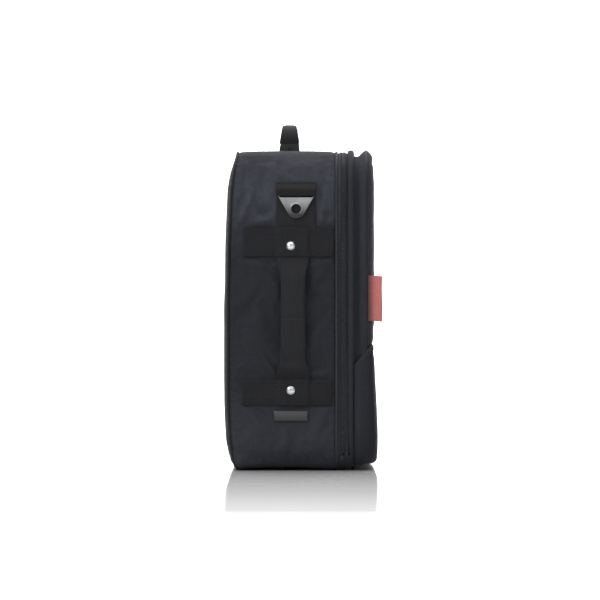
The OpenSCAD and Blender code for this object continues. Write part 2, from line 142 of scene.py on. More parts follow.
def bevel(ob, w, seg=2, ang=35):
    m = ob.modifiers.new("edge", "BEVEL")
    m.width = w * MM
    m.segments = seg
    m.limit_method = "ANGLE"
    m.angle_limit = math.radians(ang)
    m.harden_normals = False
    return ob


def subsurf(ob, n=1):
    m = ob.modifiers.new("sub", "SUBSURF")
    m.levels = n
    m.render_levels = n
    return ob


def join_parts(parts):
    """[(V, F, uv)] to one."""
    V, F, UV, o = [], [], [], 0
    for v, f, u in parts:
        V.append(np.asarray(v, float))
        F += [tuple(int(k) + o for k in q) for q in f]
        UV.append(np.asarray(u, float))
        o += len(v)
    return np.concatenate(V), F, np.concatenate(UV)


# outline of the body seen from the front: points, outward normals and length along it
def rr(zb=0.0, ds=3.0, r=R, l=L, h=H):
    hx = l / 2
    seg = []

    def line(x0, z0, x1, z1, n):
        k = max(2, int(round(math.hypot(x1 - x0, z1 - z0) / ds)))
        for i in range(k):
            t = i / k
            seg.append((x0 + (x1 - x0) * t, z0 + (z1 - z0) * t, n[0], n[1]))

    def arc(cx, cz, a0, a1):
        k = max(8, int(round(r * abs(a1 - a0) / ds)))
        for i in range(k):
            a = a0 + (a1 - a0) * i / k
            seg.append((cx + r * math.cos(a), cz + r * math.sin(a), math.cos(a), math.sin(a)))

    line(0, zb, hx - r, zb, (0, -1))
    arc(hx - r, zb + r, -PI / 2, 0)
    line(hx, zb + r, hx, h - r, (1, 0))
    arc(hx - r, h - r, 0, PI / 2)
    line(hx - r, h, -hx + r, h, (0, 1))
    arc(-hx + r, h - r, PI / 2, PI)
    line(-hx, h - r, -hx, zb + r, (-1, 0))
    arc(-hx + r, zb + r, PI, 1.5 * PI)
    line(-hx + r, zb, 0, zb, (0, -1))
    a = np.array(seg)
    P, N = a[:, :2], a[:, 2:]
    d = np.linalg.norm(np.roll(P, -1, 0) - P, axis=1)
    S = np.concatenate([[0], np.cumsum(d)])
    return P, N, S


def sweep(path, sec, keep=None, mod=None):
    """Sweep a closed (d, y) section along a front outline. keep: mask of path points for an open run."""
    P, N, S = path
    sec = np.asarray(sec, float)
    closed = keep is None
    if not closed:
        idx = np.where(keep)[0]
        # one unbroken run
        br = np.where(np.diff(idx) > 1)[0]
        if len(br):
            idx = np.concatenate([idx[br[0] + 1:], idx[:br[0] + 1]])
        P, N = P[idx], N[idx]
        d = np.linalg.norm(np.diff(P, axis=0), axis=1)
        S = np.concatenate([[0], np.cumsum(d), [0]])
    n, k = len(P), len(sec)
    D = np.repeat(sec[None, :, 0], n, 0)
    Y = np.repeat(sec[None, :, 1], n, 0)
    if mod is not None:
        D, Y = mod(P, N, S, D.copy(), Y.copy())
    Q = np.empty((n, k, 3))
    Q[..., 0] = P[:, None, 0] + N[:, None, 0] * D
    Q[..., 2] = P[:, None, 1] + N[:, None, 1] * D
    Q[..., 1] = Y
    e = np.linalg.norm(np.roll(sec, -1, 0) - sec, axis=1)
    Vv = np.concatenate([[0], np.cumsum(e)]) * MM
    V, F, uv = grid(Q, closed_u=closed, closed_v=True, U=S * MM, Vv=Vv)
    F = [tuple(f) for f in F]
    if not closed:
        for base, rev in ((0, False), ((n - 1) * k, True)):
            c = list(range(base, base + k))
            F.append(tuple(c[::-1] if rev else c))
            uv = np.concatenate([uv, np.stack([sec[:, 0] * MM, sec[:, 1] * MM], 1)[::(-1 if rev else 1)]])
    return V, F, uv


def disc(d, y, r, n=12):
    return [(d + r * math.cos(2 * PI * i / n), y + r * math.sin(2 * PI * i / n)) for i in range(n)]


def rbox2(d0, d1, y0, y1, r, n=3):
    """Rounded rectangle as a (d, y) section."""
    out = []
    for cx, cy, a0 in ((d1 - r, y1 - r, 0), (d0 + r, y1 - r, 90), (d0 + r, y0 + r, 180), (d1 - r, y0 + r, 270)):
        for i in range(n + 1):
            a = math.radians(a0 + 90 * i / n)
            out.append((cx + r * math.cos(a), cy + r * math.sin(a)))
    return out


# a flat panel with a rounded outline, as a patch of points between its four edges
def patch(hx0, hx1, z0, z1, r, nu, nv, rb=None):
    rb = r if rb is None else rb

    def edge(pts, n):
        pts = np.array(pts)
        d = np.concatenate([[0], np.cumsum(np.linalg.norm(np.diff(pts, axis=0), axis=1))])
        t = np.linspace(0, d[-1], n)
        return np.stack([np.interp(t, d, pts[:, 0]), np.interp(t, d, pts[:, 1])], 1)

    def arc(cx, cz, rad, a0, a1):
        return [(cx + rad * math.cos(math.radians(a)), cz + rad * math.sin(math.radians(a))) for a in np.linspace(a0, a1, 13)]

    bot = edge(arc(hx0 + rb, z0 + rb, rb, 225, 270) + arc(hx1 - rb, z0 + rb, rb, 270, 315), nu)
    top = edge(arc(hx0 + r, z1 - r, r, 135, 90) + arc(hx1 - r, z1 - r, r, 90, 45), nu)
    lef = edge(arc(hx0 + rb, z0 + rb, rb, 225, 180) + arc(hx0 + r, z1 - r, r, 180, 135), nv)
    rig = edge(arc(hx1 - rb, z0 + rb, rb, 315, 360) + arc(hx1 - r, z1 - r, r, 0, 45), nv)
    u = np.linspace(0, 1, nu)[:, None, None]
    v = np.linspace(0, 1, nv)[None, :, None]
    S = (1 - v) * bot[:, None] + v * top[:, None] + (1 - u) * lef[None] + u * rig[None]
    S -= (1 - u) * (1 - v) * bot[0] + u * (1 - v) * bot[-1] + (1 - u) * v * top[0] + u * v * top[-1]
    return S


def inside(x, z, hx0, hx1, z0, z1, r):
    """Distance from the edge of a rounded rectangle, positive inside."""
    cx, cz = (hx0 + hx1) / 2, (z0 + z1) / 2
    qx = np.abs(x - cx) - ((hx1 - hx0) / 2 - r)
    qz = np.abs(z - cz) - ((z1 - z0) / 2 - r)
    out = np.hypot(np.maximum(qx, 0), np.maximum(qz, 0)) + np.minimum(np.maximum(qx, qz), 0)
    return r - out


# rows of thread stitches as short rounded bars
def stitches(lines, pitch=4.4, length=3.1, r=0.32, sink=0.1):
    """lines: [(points (n, 3) mm, normals (n, 3))]"""
    V, F = [], []
    prof = [(-0.5, 0.35), (-0.36, 0.95), (0.36, 0.95), (0.5, 0.35)]
    for pts, nor in lines:
        pts, nor = np.asarray(pts, float), np.asarray(nor, float)
        if nor.ndim == 1:
            nor = np.repeat(nor[None], len(pts), 0)
        d = np.concatenate([[0], np.cumsum(np.linalg.norm(np.diff(pts, axis=0), axis=1))])
        if d[-1] < pitch:
            continue
        k = int(d[-1] / pitch)
        off = (d[-1] - k * pitch) / 2
        for i in range(k):
            c = off + (i + 0.5) * pitch
            e = []
            for q in (c - length / 2, c + length / 2):
                e.append(np.array([np.interp(q, d, pts[:, a]) for a in range(3)]))
            n = np.array([np.interp(c, d, nor[:, a]) for a in range(3)])
            n /= np.linalg.norm(n) + 1e-9
            t = e[1] - e[0]
            ln = np.linalg.norm(t)
            if ln < 1e-6:
                continue
            t /= ln
            b = np.cross(n, t)
            m = (e[0] + e[1]) / 2 - n * sink
            o = len(V)
            for a, w in prof:
                for s in range(6):
                    g = 2 * PI * s / 6
                    V.append(m + t * a * ln + (b * math.cos(g) + n * math.sin(g)) * r * w)
            for q in range(3):
                for s in range(6):
                    s2 = (s + 1) % 6
                    F.append((o + q * 6 + s, o + q * 6 + s2, o + (q + 1) * 6 + s2, o + (q + 1) * 6 + s))
            F.append(tuple(o + s for s in range(5, -1, -1)))
            F.append(tuple(o + 18 + s for s in range(6)))
    return np.array(V), F


# slack cloth held at its seams: grows a little against its pins and buckles into folds
def slack(ob, pin, grow=0.02, pressure=0.6, frames=16, cap=3.0, bend=0.35):
    me = ob.data
    base = np.empty(len(me.vertices) * 3)
    me.vertices.foreach_get("co", base)
    base = base.reshape(-1, 3)
    g = ob.vertex_groups.new(name="pin")
    for i, w in enumerate(pin):
        g.add([i], float(w), "REPLACE")
    m = ob.modifiers.new("cloth", "CLOTH")
    c = m.settings
    c.quality = 5
    c.mass = 0.25
    c.tension_stiffness = 12
    c.compression_stiffness = 12
    c.shear_stiffness = 6
    c.bending_stiffness = bend
    c.air_damping = 3
    c.vertex_group_mass = "pin"
    c.shrink_min = -grow
    c.use_pressure = True
    c.uniform_pressure_force = pressure
    c.effector_weights.gravity = 0
    m.collision_settings.use_collision = False
    m.collision_settings.use_self_collision = False
    m.point_cache.frame_start = 1
    m.point_cache.frame_end = frames
    sc = bpy.context.scene
    for f in range(1, frames + 1):
        sc.frame_set(f)
    ev = ob.evaluated_get(bpy.context.evaluated_depsgraph_get())
    new = np.empty(len(ev.data.vertices) * 3)
    ev.data.vertices.foreach_get("co", new)
    new = new.reshape(-1, 3)
    d = (new - base) * (1 - np.asarray(pin))[:, None]
    ln = np.linalg.norm(d, axis=1)
    print("slack", ob.name, "moved mm: mean %.2f max %.2f" % (ln.mean() * 1000, ln.max() * 1000))
    lim = cap * MM
    d *= (lim * np.tanh(ln / lim) / np.maximum(ln, 1e-9))[:, None]
    ob.modifiers.remove(m)
    ob.vertex_groups.remove(g)
    sc.frame_set(1)
    me.vertices.foreach_set("co", (base + d).ravel())
    me.update()


# ------------------------------------------------------------------ materials
def new_mat(name, color, rough, metallic=0.0, sheen=0.0, spec=0.5):
    m = bpy.data.materials.new(name)
    m.use_nodes = True
    b = m.node_tree.nodes["Principled BSDF"]
    b.inputs["Base Color"].default_value = (*color, 1)
    b.inputs["Roughness"].default_value = rough
    b.inputs["Metallic"].default_value = metallic
    b.inputs["Specular IOR Level"].default_value = spec
    if sheen:
        b.inputs["Sheen Weight"].default_value = sheen
        b.inputs["Sheen Roughness"].default_value = 0.4
    return m, m.node_tree.nodes, m.node_tree.links, b


def mth(n, l, op, a, b=None, clamp=False):
    k = n.new("ShaderNodeMath")
    k.operation = op
    k.use_clamp = clamp
    for i, v in enumerate((a, b)):
        if v is None:
            continue
        if hasattr(v, "links") or hasattr(v, "is_linked"):
            l.new(v, k.inputs[i])
        else:
            k.inputs[i].default_value = v
    return k.outputs[0]


def uvmm(n, l):
    """The weave map in millimetres, as two sockets."""
    u = n.new("ShaderNodeUVMap")
    u.uv_map = "weave"
    s = n.new("ShaderNodeSeparateXYZ")
    l.new(u.outputs[0], s.inputs[0])
    return mth(n, l, "MULTIPLY", s.outputs[0], 1000.0), mth(n, l, "MULTIPLY", s.outputs[1], 1000.0)


def obj_noise(n, l, scale, detail=4.0, rough=0.55):
    c = n.new("ShaderNodeTexCoord")
    t = n.new("ShaderNodeTexNoise")
    t.inputs["Scale"].default_value = scale
    t.inputs["Detail"].default_value = detail
    t.inputs["Roughness"].default_value = rough
    l.new(c.outputs["Object"], t.inputs["Vector"])
    return t.outputs["Fac"]


def ramp(n, l, fac, stops):
    r = n.new("ShaderNodeValToRGB")
    while len(r.color_ramp.elements) < len(stops):
        r.color_ramp.elements.new(0.5)
    for e, (p, c) in zip(r.color_ramp.elements, stops):
        e.position = p
        e.color = (*c, 1) if len(c) == 3 else c
    l.new(fac, r.inputs[0])
    return r.outputs[0]


def plain_weave(n, l, pu, pv):
    u, v = uvmm(n, l)
    a = mth(n, l, "MULTIPLY", u, 1.0 / pu)
    b = mth(n, l, "MULTIPLY", v, 1.0 / pv)
    sa = mth(n, l, "ABSOLUTE", mth(n, l, "SINE", mth(n, l, "MULTIPLY", a, PI)))
    sb = mth(n, l, "ABSOLUTE", mth(n, l, "SINE", mth(n, l, "MULTIPLY", b, PI)))
    ck = mth(n, l, "MODULO", mth(n, l, "ADD", mth(n, l, "ADD", mth(n, l, "FLOOR", a), mth(n, l, "FLOOR", b)), 4000.0), 2.0)
    d = mth(n, l, "SUBTRACT", sb, sa)
    return mth(n, l, "ADD", sa, mth(n, l, "MULTIPLY", d, ck))


def fabric(name, dark, light, pu, pv, rough=0.62, bump=0.35, sheen=0.25, depth=0.25, var=0.35, spec=0.4, worn=None):
    """Woven cloth: threads over and under, patchy shade from dust and handling, duller where it is rubbed."""
    m, n, l, b = new_mat(name, dark, rough, sheen=sheen, spec=spec)
    h = plain_weave(n, l, pu, pv)
    big = obj_noise(n, l, 14.0, 5.0, 0.6)
    fine = obj_noise(n, l, 260.0, 2.0, 0.5)
    f = mth(n, l, "ADD", mth(n, l, "MULTIPLY", h, 1 - var), mth(n, l, "MULTIPLY", big, var))
    f = mth(n, l, "ADD", f, mth(n, l, "MULTIPLY", mth(n, l, "SUBTRACT", fine, 0.5), 0.5), True)
    col = ramp(n, l, f, [(0.12, dark), (0.9, light)])
    if worn is not None:
        g = n.new("ShaderNodeNewGeometry")
        w = ramp(n, l, g.outputs["Pointiness"], [(0.52, (0, 0, 0)), (0.6, (1, 1, 1))])
        x = n.new("ShaderNodeMix")
        x.data_type = "RGBA"
        l.new(mth(n, l, "MULTIPLY", w, mth(n, l, "MULTIPLY", big, 0.8)), x.inputs["Factor"])
        l.new(col, x.inputs["A"])
        x.inputs["B"].default_value = (*worn, 1)
        col = x.outputs["Result"]
    l.new(col, b.inputs["Base Color"])
    l.new(mth(n, l, "ADD", mth(n, l, "MULTIPLY", big, 0.22), rough - 0.11), b.inputs["Roughness"])
    bp = n.new("ShaderNodeBump")
    bp.inputs["Strength"].default_value = bump
    bp.inputs["Distance"].default_value = depth * MM
    l.new(mth(n, l, "ADD", h, mth(n, l, "MULTIPLY", fine, 0.6)), bp.inputs["Height"])
    l.new(bp.outputs[0], b.inputs["Normal"])
    return m


def webbing(name, dark, light, rib=2.4, pick=1.5, rough=0.6, bump=0.6, depth=0.5):
    """Heavy webbing: lengthwise cords along v crossed by picks, in a herringbone step."""
    m, n, l, b = new_mat(name, dark, rough, sheen=0.03, spec=0.13)
    u, v = uvmm(n, l)
    a = mth(n, l, "MULTIPLY", u, 1.0 / rib)
    cord = mth(n, l, "ABSOLUTE", mth(n, l, "SINE", mth(n, l, "MULTIPLY", a, PI)))
    step = mth(n, l, "MULTIPLY", mth(n, l, "FLOOR", a), 0.5)
    p = mth(n, l, "ABSOLUTE", mth(n, l, "SINE", mth(n, l, "MULTIPLY", mth(n, l, "ADD", mth(n, l, "MULTIPLY", v, 1.0 / pick), step), PI)))
    h = mth(n, l, "ADD", mth(n, l, "MULTIPLY", cord, 0.6), mth(n, l, "MULTIPLY", p, 0.4))
    big = obj_noise(n, l, 22.0, 4.0)
    fine = obj_noise(n, l, 420.0, 2.0)
    f = mth(n, l, "ADD", mth(n, l, "MULTIPLY", h, 0.6), mth(n, l, "MULTIPLY", big, 0.5))
    l.new(ramp(n, l, mth(n, l, "ADD", f, mth(n, l, "MULTIPLY", mth(n, l, "SUBTRACT", fine, 0.5), 0.4), True), [(0.15, dark), (0.95, light)]), b.inputs["Base Color"])
    l.new(mth(n, l, "ADD", mth(n, l, "MULTIPLY", big, 0.25), rough - 0.12), b.inputs["Roughness"])
    bp = n.new("ShaderNodeBump")
    bp.inputs["Strength"].default_value = bump
    bp.inputs["Distance"].default_value = depth * MM
    l.new(mth(n, l, "ADD", h, mth(n, l, "MULTIPLY", fine, 0.3)), bp.inputs["Height"])
    l.new(bp.outputs[0], b.inputs["Normal"])
    return m


def metal(name, color, rough, scratch=0.15, worn=0.5, metallic=1.0, dark=None):
    m, n, l, b = new_mat(name, color, rough, metallic=metallic)
    big = obj_noise(n, l, 60.0, 5.0)
    fine = obj_noise(n, l, 900.0, 3.0, 0.7)
    d = dark or tuple(c * 0.72 for c in color)
    l.new(ramp(n, l, big, [(0.3, d), (0.62, color)]), b.inputs["Base Color"])
    l.new(mth(n, l, "ADD", mth(n, l, "MULTIPLY", big, scratch), mth(n, l, "ADD", mth(n, l, "MULTIPLY", fine, scratch * 0.7), rough - scratch * 0.7)), b.inputs["Roughness"])
    bp = n.new("ShaderNodeBump")
    bp.inputs["Strength"].default_value = 0.08
    bp.inputs["Distance"].default_value = 0.1 * MM
    l.new(fine, bp.inputs["Height"])
    l.new(bp.outputs[0], b.inputs["Normal"])
    return m


def plastic(name, color, light, rough=0.42, grain=700.0, bump=0.25, spec=0.5):
    m, n, l, b = new_mat(name, color, rough, spec=spec)
    big = obj_noise(n, l, 30.0, 4.0)
    fine = obj_noise(n, l, grain, 3.0, 0.6)
    l.new(ramp(n, l, mth(n, l, "ADD", mth(n, l, "MULTIPLY", big, 0.6), mth(n, l, "MULTIPLY", fine, 0.4)), [(0.3, color), (0.75, light)]), b.inputs["Base Color"])
    l.new(mth(n, l, "ADD", mth(n, l, "MULTIPLY", fine, 0.2), mth(n, l, "ADD", mth(n, l, "MULTIPLY", big, 0.15), rough - 0.17)), b.inputs["Roughness"])
    bp = n.new("ShaderNodeBump")
    bp.inputs["Strength"].default_value = bump
    bp.inputs["Distance"].default_value = 0.15 * MM
    l.new(fine, bp.inputs["Height"])
    l.new(bp.outputs[0], b.inputs["Normal"])
    return m


def fleece(name, dark, light):
    """Brushed loop lining: short matted pile."""
    m, n, l, b = new_mat(name, dark, 0.9, sheen=0.6, spec=0.2)
    big = obj_noise(n, l, 25.0, 4.0)
    fine = obj_noise(n, l, 800.0, 4.0, 0.75)
    mid = obj_noise(n, l, 230.0, 3.0, 0.6)
    f = mth(n, l, "ADD", mth(n, l, "MULTIPLY", big, 0.4), mth(n, l, "ADD", mth(n, l, "MULTIPLY", fine, 0.4), mth(n, l, "MULTIPLY", mid, 0.3)))
    l.new(ramp(n, l, f, [(0.35, dark), (0.75, light)]), b.inputs["Base Color"])
    l.new(mth(n, l, "ADD", mth(n, l, "MULTIPLY", mid, 0.2), 0.78), b.inputs["Roughness"])
    bp = n.new("ShaderNodeBump")
    bp.inputs["Strength"].default_value = 0.6
    bp.inputs["Distance"].default_value = 0.6 * MM
    l.new(mth(n, l, "ADD", fine, mid), bp.inputs["Height"])
    l.new(bp.outputs[0], b.inputs["Normal"])
    return m


NYL_D, NYL_L, NYL_W = (0.0064, 0.0069, 0.0088), (0.0161, 0.0174, 0.0224), (0.0229, 0.0245, 0.0300)


def times(c, k):
    return tuple(v * k for v in c)


def paint_height_shade(m, stops, top, wob=0.05):
    """Painted light and shade along the height: the colour is multiplied by a ramp over z, lighter where the cloth
    should look lit and darker where it should look shaded.
    """
    n, l = m.node_tree.nodes, m.node_tree.links
    b = n["Principled BSDF"]
    src = b.inputs["Base Color"].links[0].from_socket
    tc = n.new("ShaderNodeTexCoord")
    sx = n.new("ShaderNodeSeparateXYZ")
    l.new(tc.outputs["Object"], sx.inputs[0])
    z = mth(n, l, "ADD", sx.outputs[2], mth(n, l, "MULTIPLY", mth(n, l, "SUBTRACT", obj_noise(n, l, 11.0, 3.0), 0.5), wob))
    c = ramp(n, l, mth(n, l, "MULTIPLY", z, 1.0 / 0.43), [(h / 0.43, (f / top,) * 3) for h, f in stops])
    x = n.new("ShaderNodeMix")
    x.data_type = "RGBA"
    x.blend_type = "MULTIPLY"
    x.inputs["Factor"].default_value = 1.0
    l.new(src, x.inputs["A"])
    l.new(c, x.inputs["B"])
    l.new(x.outputs["Result"], b.inputs["Base Color"])
    return m


def paint_depth_shade(m, stops, y0=0.08):
    """Painted shade across the depth, over 30 mm from y = -y0 outwards: the red ribbon darker near its seam, the pocket
    side darker towards its front edge.
    """
    n, l = m.node_tree.nodes, m.node_tree.links
    b = n["Principled BSDF"]
    src = b.inputs["Base Color"].links[0].from_socket
    tc = n.new("ShaderNodeTexCoord")
    sx = n.new("ShaderNodeSeparateXYZ")
    l.new(tc.outputs["Object"], sx.inputs[0])
    c = ramp(n, l, mth(n, l, "MULTIPLY", mth(n, l, "ADD", sx.outputs[1], y0), -1.0 / 0.03), [(h, (f,) * 3) for h, f in stops])
    x = n.new("ShaderNodeMix")
    x.data_type = "RGBA"
    x.blend_type = "MULTIPLY"
    x.inputs["Factor"].default_value = 1.0
    l.new(src, x.inputs["A"])
    l.new(c, x.inputs["B"])
    l.new(x.outputs["Result"], b.inputs["Base Color"])
    return m


M_NYLON = fabric("nylon_shell", times(NYL_D, 0.86), times(NYL_L, 0.86), 0.95, 0.95, rough=0.74, sheen=0.03, spec=0.12, worn=NYL_W)
# painted light and shade by height: the body cloth is made much lighter at its foot, where contact shade falls, and
# over its top band, and a little darker at mid height
M_BODY = paint_height_shade(fabric("nylon_body", times(NYL_D, 3.0), times(NYL_L, 3.0), 0.95, 0.95, rough=0.74, sheen=0.03, spec=0.12, worn=times(NYL_W, 3.0)),
              [(0.0, 3.0), (0.009, 2.3), (0.02, 1.55), (0.04, 1.46), (0.078, 1.32), (0.115, 0.88), (0.2, 0.83), (0.275, 0.84), (0.318, 1.2), (0.342, 1.82), (0.374, 2.12), (0.398, 1.55), (0.424, 1.0)], 3.0)
# painted light: a lighter copy of the nylon for the lid wall, lighter still towards the top, filling in the shade of
# the valley beside the rim
M_LIDW = paint_height_shade(fabric("nylon_lid", times(NYL_D, 1.5), times(NYL_L, 1.5), 0.95, 0.95, rough=0.74, sheen=0.03, spec=0.12, worn=times(NYL_W, 1.2)),
              [(0.0, 1.2), (0.1, 1.2), (0.25, 1.22), (0.36, 1.42), (0.43, 1.4)], 1.5)
# painted light: a lighter copy of the nylon for the zip strip, with a height ramp like the body's
M_ZSTRIP = paint_height_shade(fabric("nylon_zip_strip", times(NYL_D, 3.0), times(NYL_L, 3.0), 0.95, 0.95, rough=0.74, sheen=0.03, spec=0.12, worn=times(NYL_W, 3.0)),
                [(0.0, 2.6), (0.02, 1.6), (0.078, 1.4), (0.115, 1.1), (0.2, 1.15), (0.275, 1.25), (0.318, 1.6), (0.342, 2.2), (0.374, 2.5), (0.398, 1.9), (0.424, 1.2)], 3.0)
M_RIM = fabric("nylon_rim", (0.0061, 0.0067, 0.0085), (0.0152, 0.0165, 0.0213), 0.95, 0.95, rough=0.7, sheen=0.03, spec=0.13)
M_PIPE = fabric("piping", (0.0043, 0.0043, 0.0052), (0.0121, 0.0125, 0.0143), 0.8, 0.8, rough=0.52, sheen=0.03, spec=0.14, worn=(0.0186, 0.0186, 0.0207))
# painted light: a lighter copy of the piping for the front seam, filling in the shade beside it
M_FPIPE = fabric("front_piping", (0.0078, 0.0081, 0.0103), (0.0220, 0.0232, 0.0283), 0.8, 0.8, rough=0.52, sheen=0.03, spec=0.14, worn=(0.0260, 0.0268, 0.0310))
M_TAPE = fabric("zip_tape", (0.0062, 0.0067, 0.0086), (0.0160, 0.0172, 0.0216), 0.9, 0.6, rough=0.6, sheen=0.03, spec=0.14)
M_WEB = webbing("webbing", (0.0034, 0.0034, 0.0040), (0.0103, 0.0106, 0.0118))
# painted shade: a darker copy of the webbing for the flap over the ring, keeping its upturned slope from looking lit
M_FLAP = webbing("flap_webbing", (0.0020, 0.0020, 0.0024), (0.0061, 0.0062, 0.0070))
M_BAND = fabric("band_cloth", (0.0038, 0.0040, 0.0048), (0.0100, 0.0104, 0.0127), 1.5, 1.2, rough=0.66, bump=0.5, sheen=0.03, spec=0.12, depth=0.4)
M_GRIP = webbing("grip_webbing", (0.0036, 0.0037, 0.0045), (0.0111, 0.0116, 0.0138), rib=2.1, pick=1.4)
# painted shade: the side grip webbing is darkened where the strap bends in under the bands, near z = 0.12 m and 0.28 m
M_SGRIP = paint_height_shade(webbing("side_grip_webbing", (0.0036, 0.0037, 0.0045), (0.0111, 0.0116, 0.0138), rib=2.1, pick=1.4), [(0.0, 0.7), (0.112, 0.55), (0.124, 0.5), (0.136, 0.95), (0.2, 1.0), (0.268, 1.0), (0.282, 0.75), (0.43, 0.8)], 1.0, 0.006)
M_THREAD = fabric("thread", (0.0050, 0.0050, 0.0057), (0.0143, 0.0143, 0.0157), 0.5, 0.5, rough=0.5, sheen=0.03, spec=0.15)
# painted light: a lighter copy of the zip tape for the lid half, filling in the shadow between tape and rim
M_LTAPE = fabric("zip_tape_lid", (0.0112, 0.0121, 0.0155), (0.0288, 0.0310, 0.0389), 0.9, 0.6, rough=0.6, sheen=0.03, spec=0.14)
# painted shade: the pocket side cloth darker towards its front edge
M_PSIDE = paint_depth_shade(fabric("nylon_pocket_side", times(NYL_D, 1.22), times(NYL_L, 1.22), 0.95, 0.95, rough=0.74, sheen=0.03, spec=0.12, worn=times(NYL_W, 1.22)),
                   [(0.05, 1.0), (0.3, 1.0), (0.52, 0.72), (0.74, 0.66), (0.86, 0.52)], 0.06)
M_COIL = plastic("zip_coil", (0.0056, 0.0061, 0.0078), (0.0150, 0.0163, 0.0208), rough=0.4, spec=0.3)
M_PLASTIC = plastic("handle_plastic", (0.0057, 0.0057, 0.0065), (0.0143, 0.0143, 0.0157), rough=0.45)
# painted shade: the label darker over its lower part, as if turned away from the light
M_LABEL = paint_height_shade(plastic("label_rubber", (0.0214, 0.0214, 0.0229), (0.0400, 0.0400, 0.0428), rough=0.5, grain=420.0, spec=0.35), [(0.0, 0.45), (0.0655, 0.45), (0.0715, 0.72), (0.0755, 1.0), (0.43, 1.0)], 1.0, 0.002)
M_ZIPM = metal("zip_metal", (0.034, 0.034, 0.037), 0.42, metallic=0.6, dark=(0.016, 0.016, 0.018))
M_RIVET = metal("rivet_steel", (0.62, 0.63, 0.65), 0.38, scratch=0.08)
M_RINGM = metal("ring_steel", (0.405, 0.415, 0.43), 0.34, scratch=0.2)



# painted shade: the ring plate is mixed to near black below z = 0.337 m and has full colour from 0.353 m up, for the
# part turned away from the light
def ring_painted_shade(m):
    n, l = m.node_tree.nodes, m.node_tree.links
    b = n["Principled BSDF"]
    src = b.inputs["Base Color"].links[0].from_socket
    tc = n.new("ShaderNodeTexCoord")
    sx = n.new("ShaderNodeSeparateXYZ")
    l.new(tc.outputs["Object"], sx.inputs[0])
    mr = n.new("ShaderNodeMapRange")
    mr.inputs["From Min"].default_value = 0.337
    mr.inputs["From Max"].default_value = 0.353
    l.new(sx.outputs[2], mr.inputs["Value"])
    x = n.new("ShaderNodeMix")
    x.data_type = "RGBA"
    l.new(mr.outputs[0], x.inputs["Factor"])
    x.inputs["A"].default_value = (0.06, 0.06, 0.063, 1)
    l.new(src, x.inputs["B"])
    l.new(x.outputs["Result"], b.inputs["Base Color"])


ring_painted_shade(M_RINGM)
M_LINING = fleece("padding", (0.045, 0.047, 0.052), (0.115, 0.12, 0.13))
M_HOOK = fleece("hook_tape", (0.008, 0.008, 0.009), (0.03, 0.03, 0.032))
M_BOARD = plastic("stiffener", (0.32, 0.32, 0.29), (0.46, 0.46, 0.43), rough=0.6)
# painted shade: the red ribbon is darker near the seam it comes out of, lighter towards its tip
M_RED = paint_depth_shade(fabric("red_ribbon", (0.205, 0.050, 0.045), (0.365, 0.105, 0.095), 1.1, 0.55, rough=0.55, bump=0.4, sheen=0.05, spec=0.3, var=0.25),
                 [(0.1, 0.1), (0.2, 0.24), (0.3, 0.52), (0.4, 0.86), (0.55, 1.0)])

BY_SLOT = {"stiffener": M_BOARD, "padding": M_LINING, "hook_tape": M_HOOK, "zip_metal": M_ZIPM, "handle_plastic": M_PLASTIC,
           "rivet_steel": M_RIVET, "ring_steel": M_RINGM, "piping": M_PIPE, "nylon_shell": M_NYLON, "zip_tape": M_TAPE,
           "zip_coil": M_COIL, "webbing": M_WEB, "grip_webbing": M_GRIP, "label_rubber": M_LABEL, "red_ribbon": M_RED}
for sp in frame["record"]["subparts"]:
    o = NODES[sp["node"]]
    if not o.material_slots:
        o.data.materials.append(None)
    for ms in o.material_slots:
        ms.link = "OBJECT"
        ms.material = BY_SLOT[sp["material_slot"]]
M_PIN = metal("blackened_pin", (0.05, 0.05, 0.053), 0.45, metallic=0.8, dark=(0.02, 0.02, 0.022))
for ms in NODES["handle_pins"].material_slots:
    ms.material = M_PIN
for nm, w in (("handle_anchors", 0.7), ("left_zip_slider", 0.35), ("right_zip_slider", 0.35), ("left_zip_pull", 0.35),
              ("right_zip_pull", 0.35), ("zip_stops", 0.5), ("handle_rivets", 0.5), ("left_cross_hooks", 0.3), ("right_cross_hooks", 0.3)):
    if nm in NODES:
        bevel(NODES[nm], w)

THREAD = []   # (lines, body)

# ------------------------------------------------------------------ body skin
def pucker(s, dist, amp, seed):
    """Small gathers along a seam that die away from it."""
    ph = noise.noise(Vector((s / 37.0, seed, 0.3))) * 5.0
    return amp * math.exp(-dist / 9.0) * math.sin(2 * PI * s / 12.5 + ph) - 0.9 * math.exp(-(dist / 3.5) ** 2)


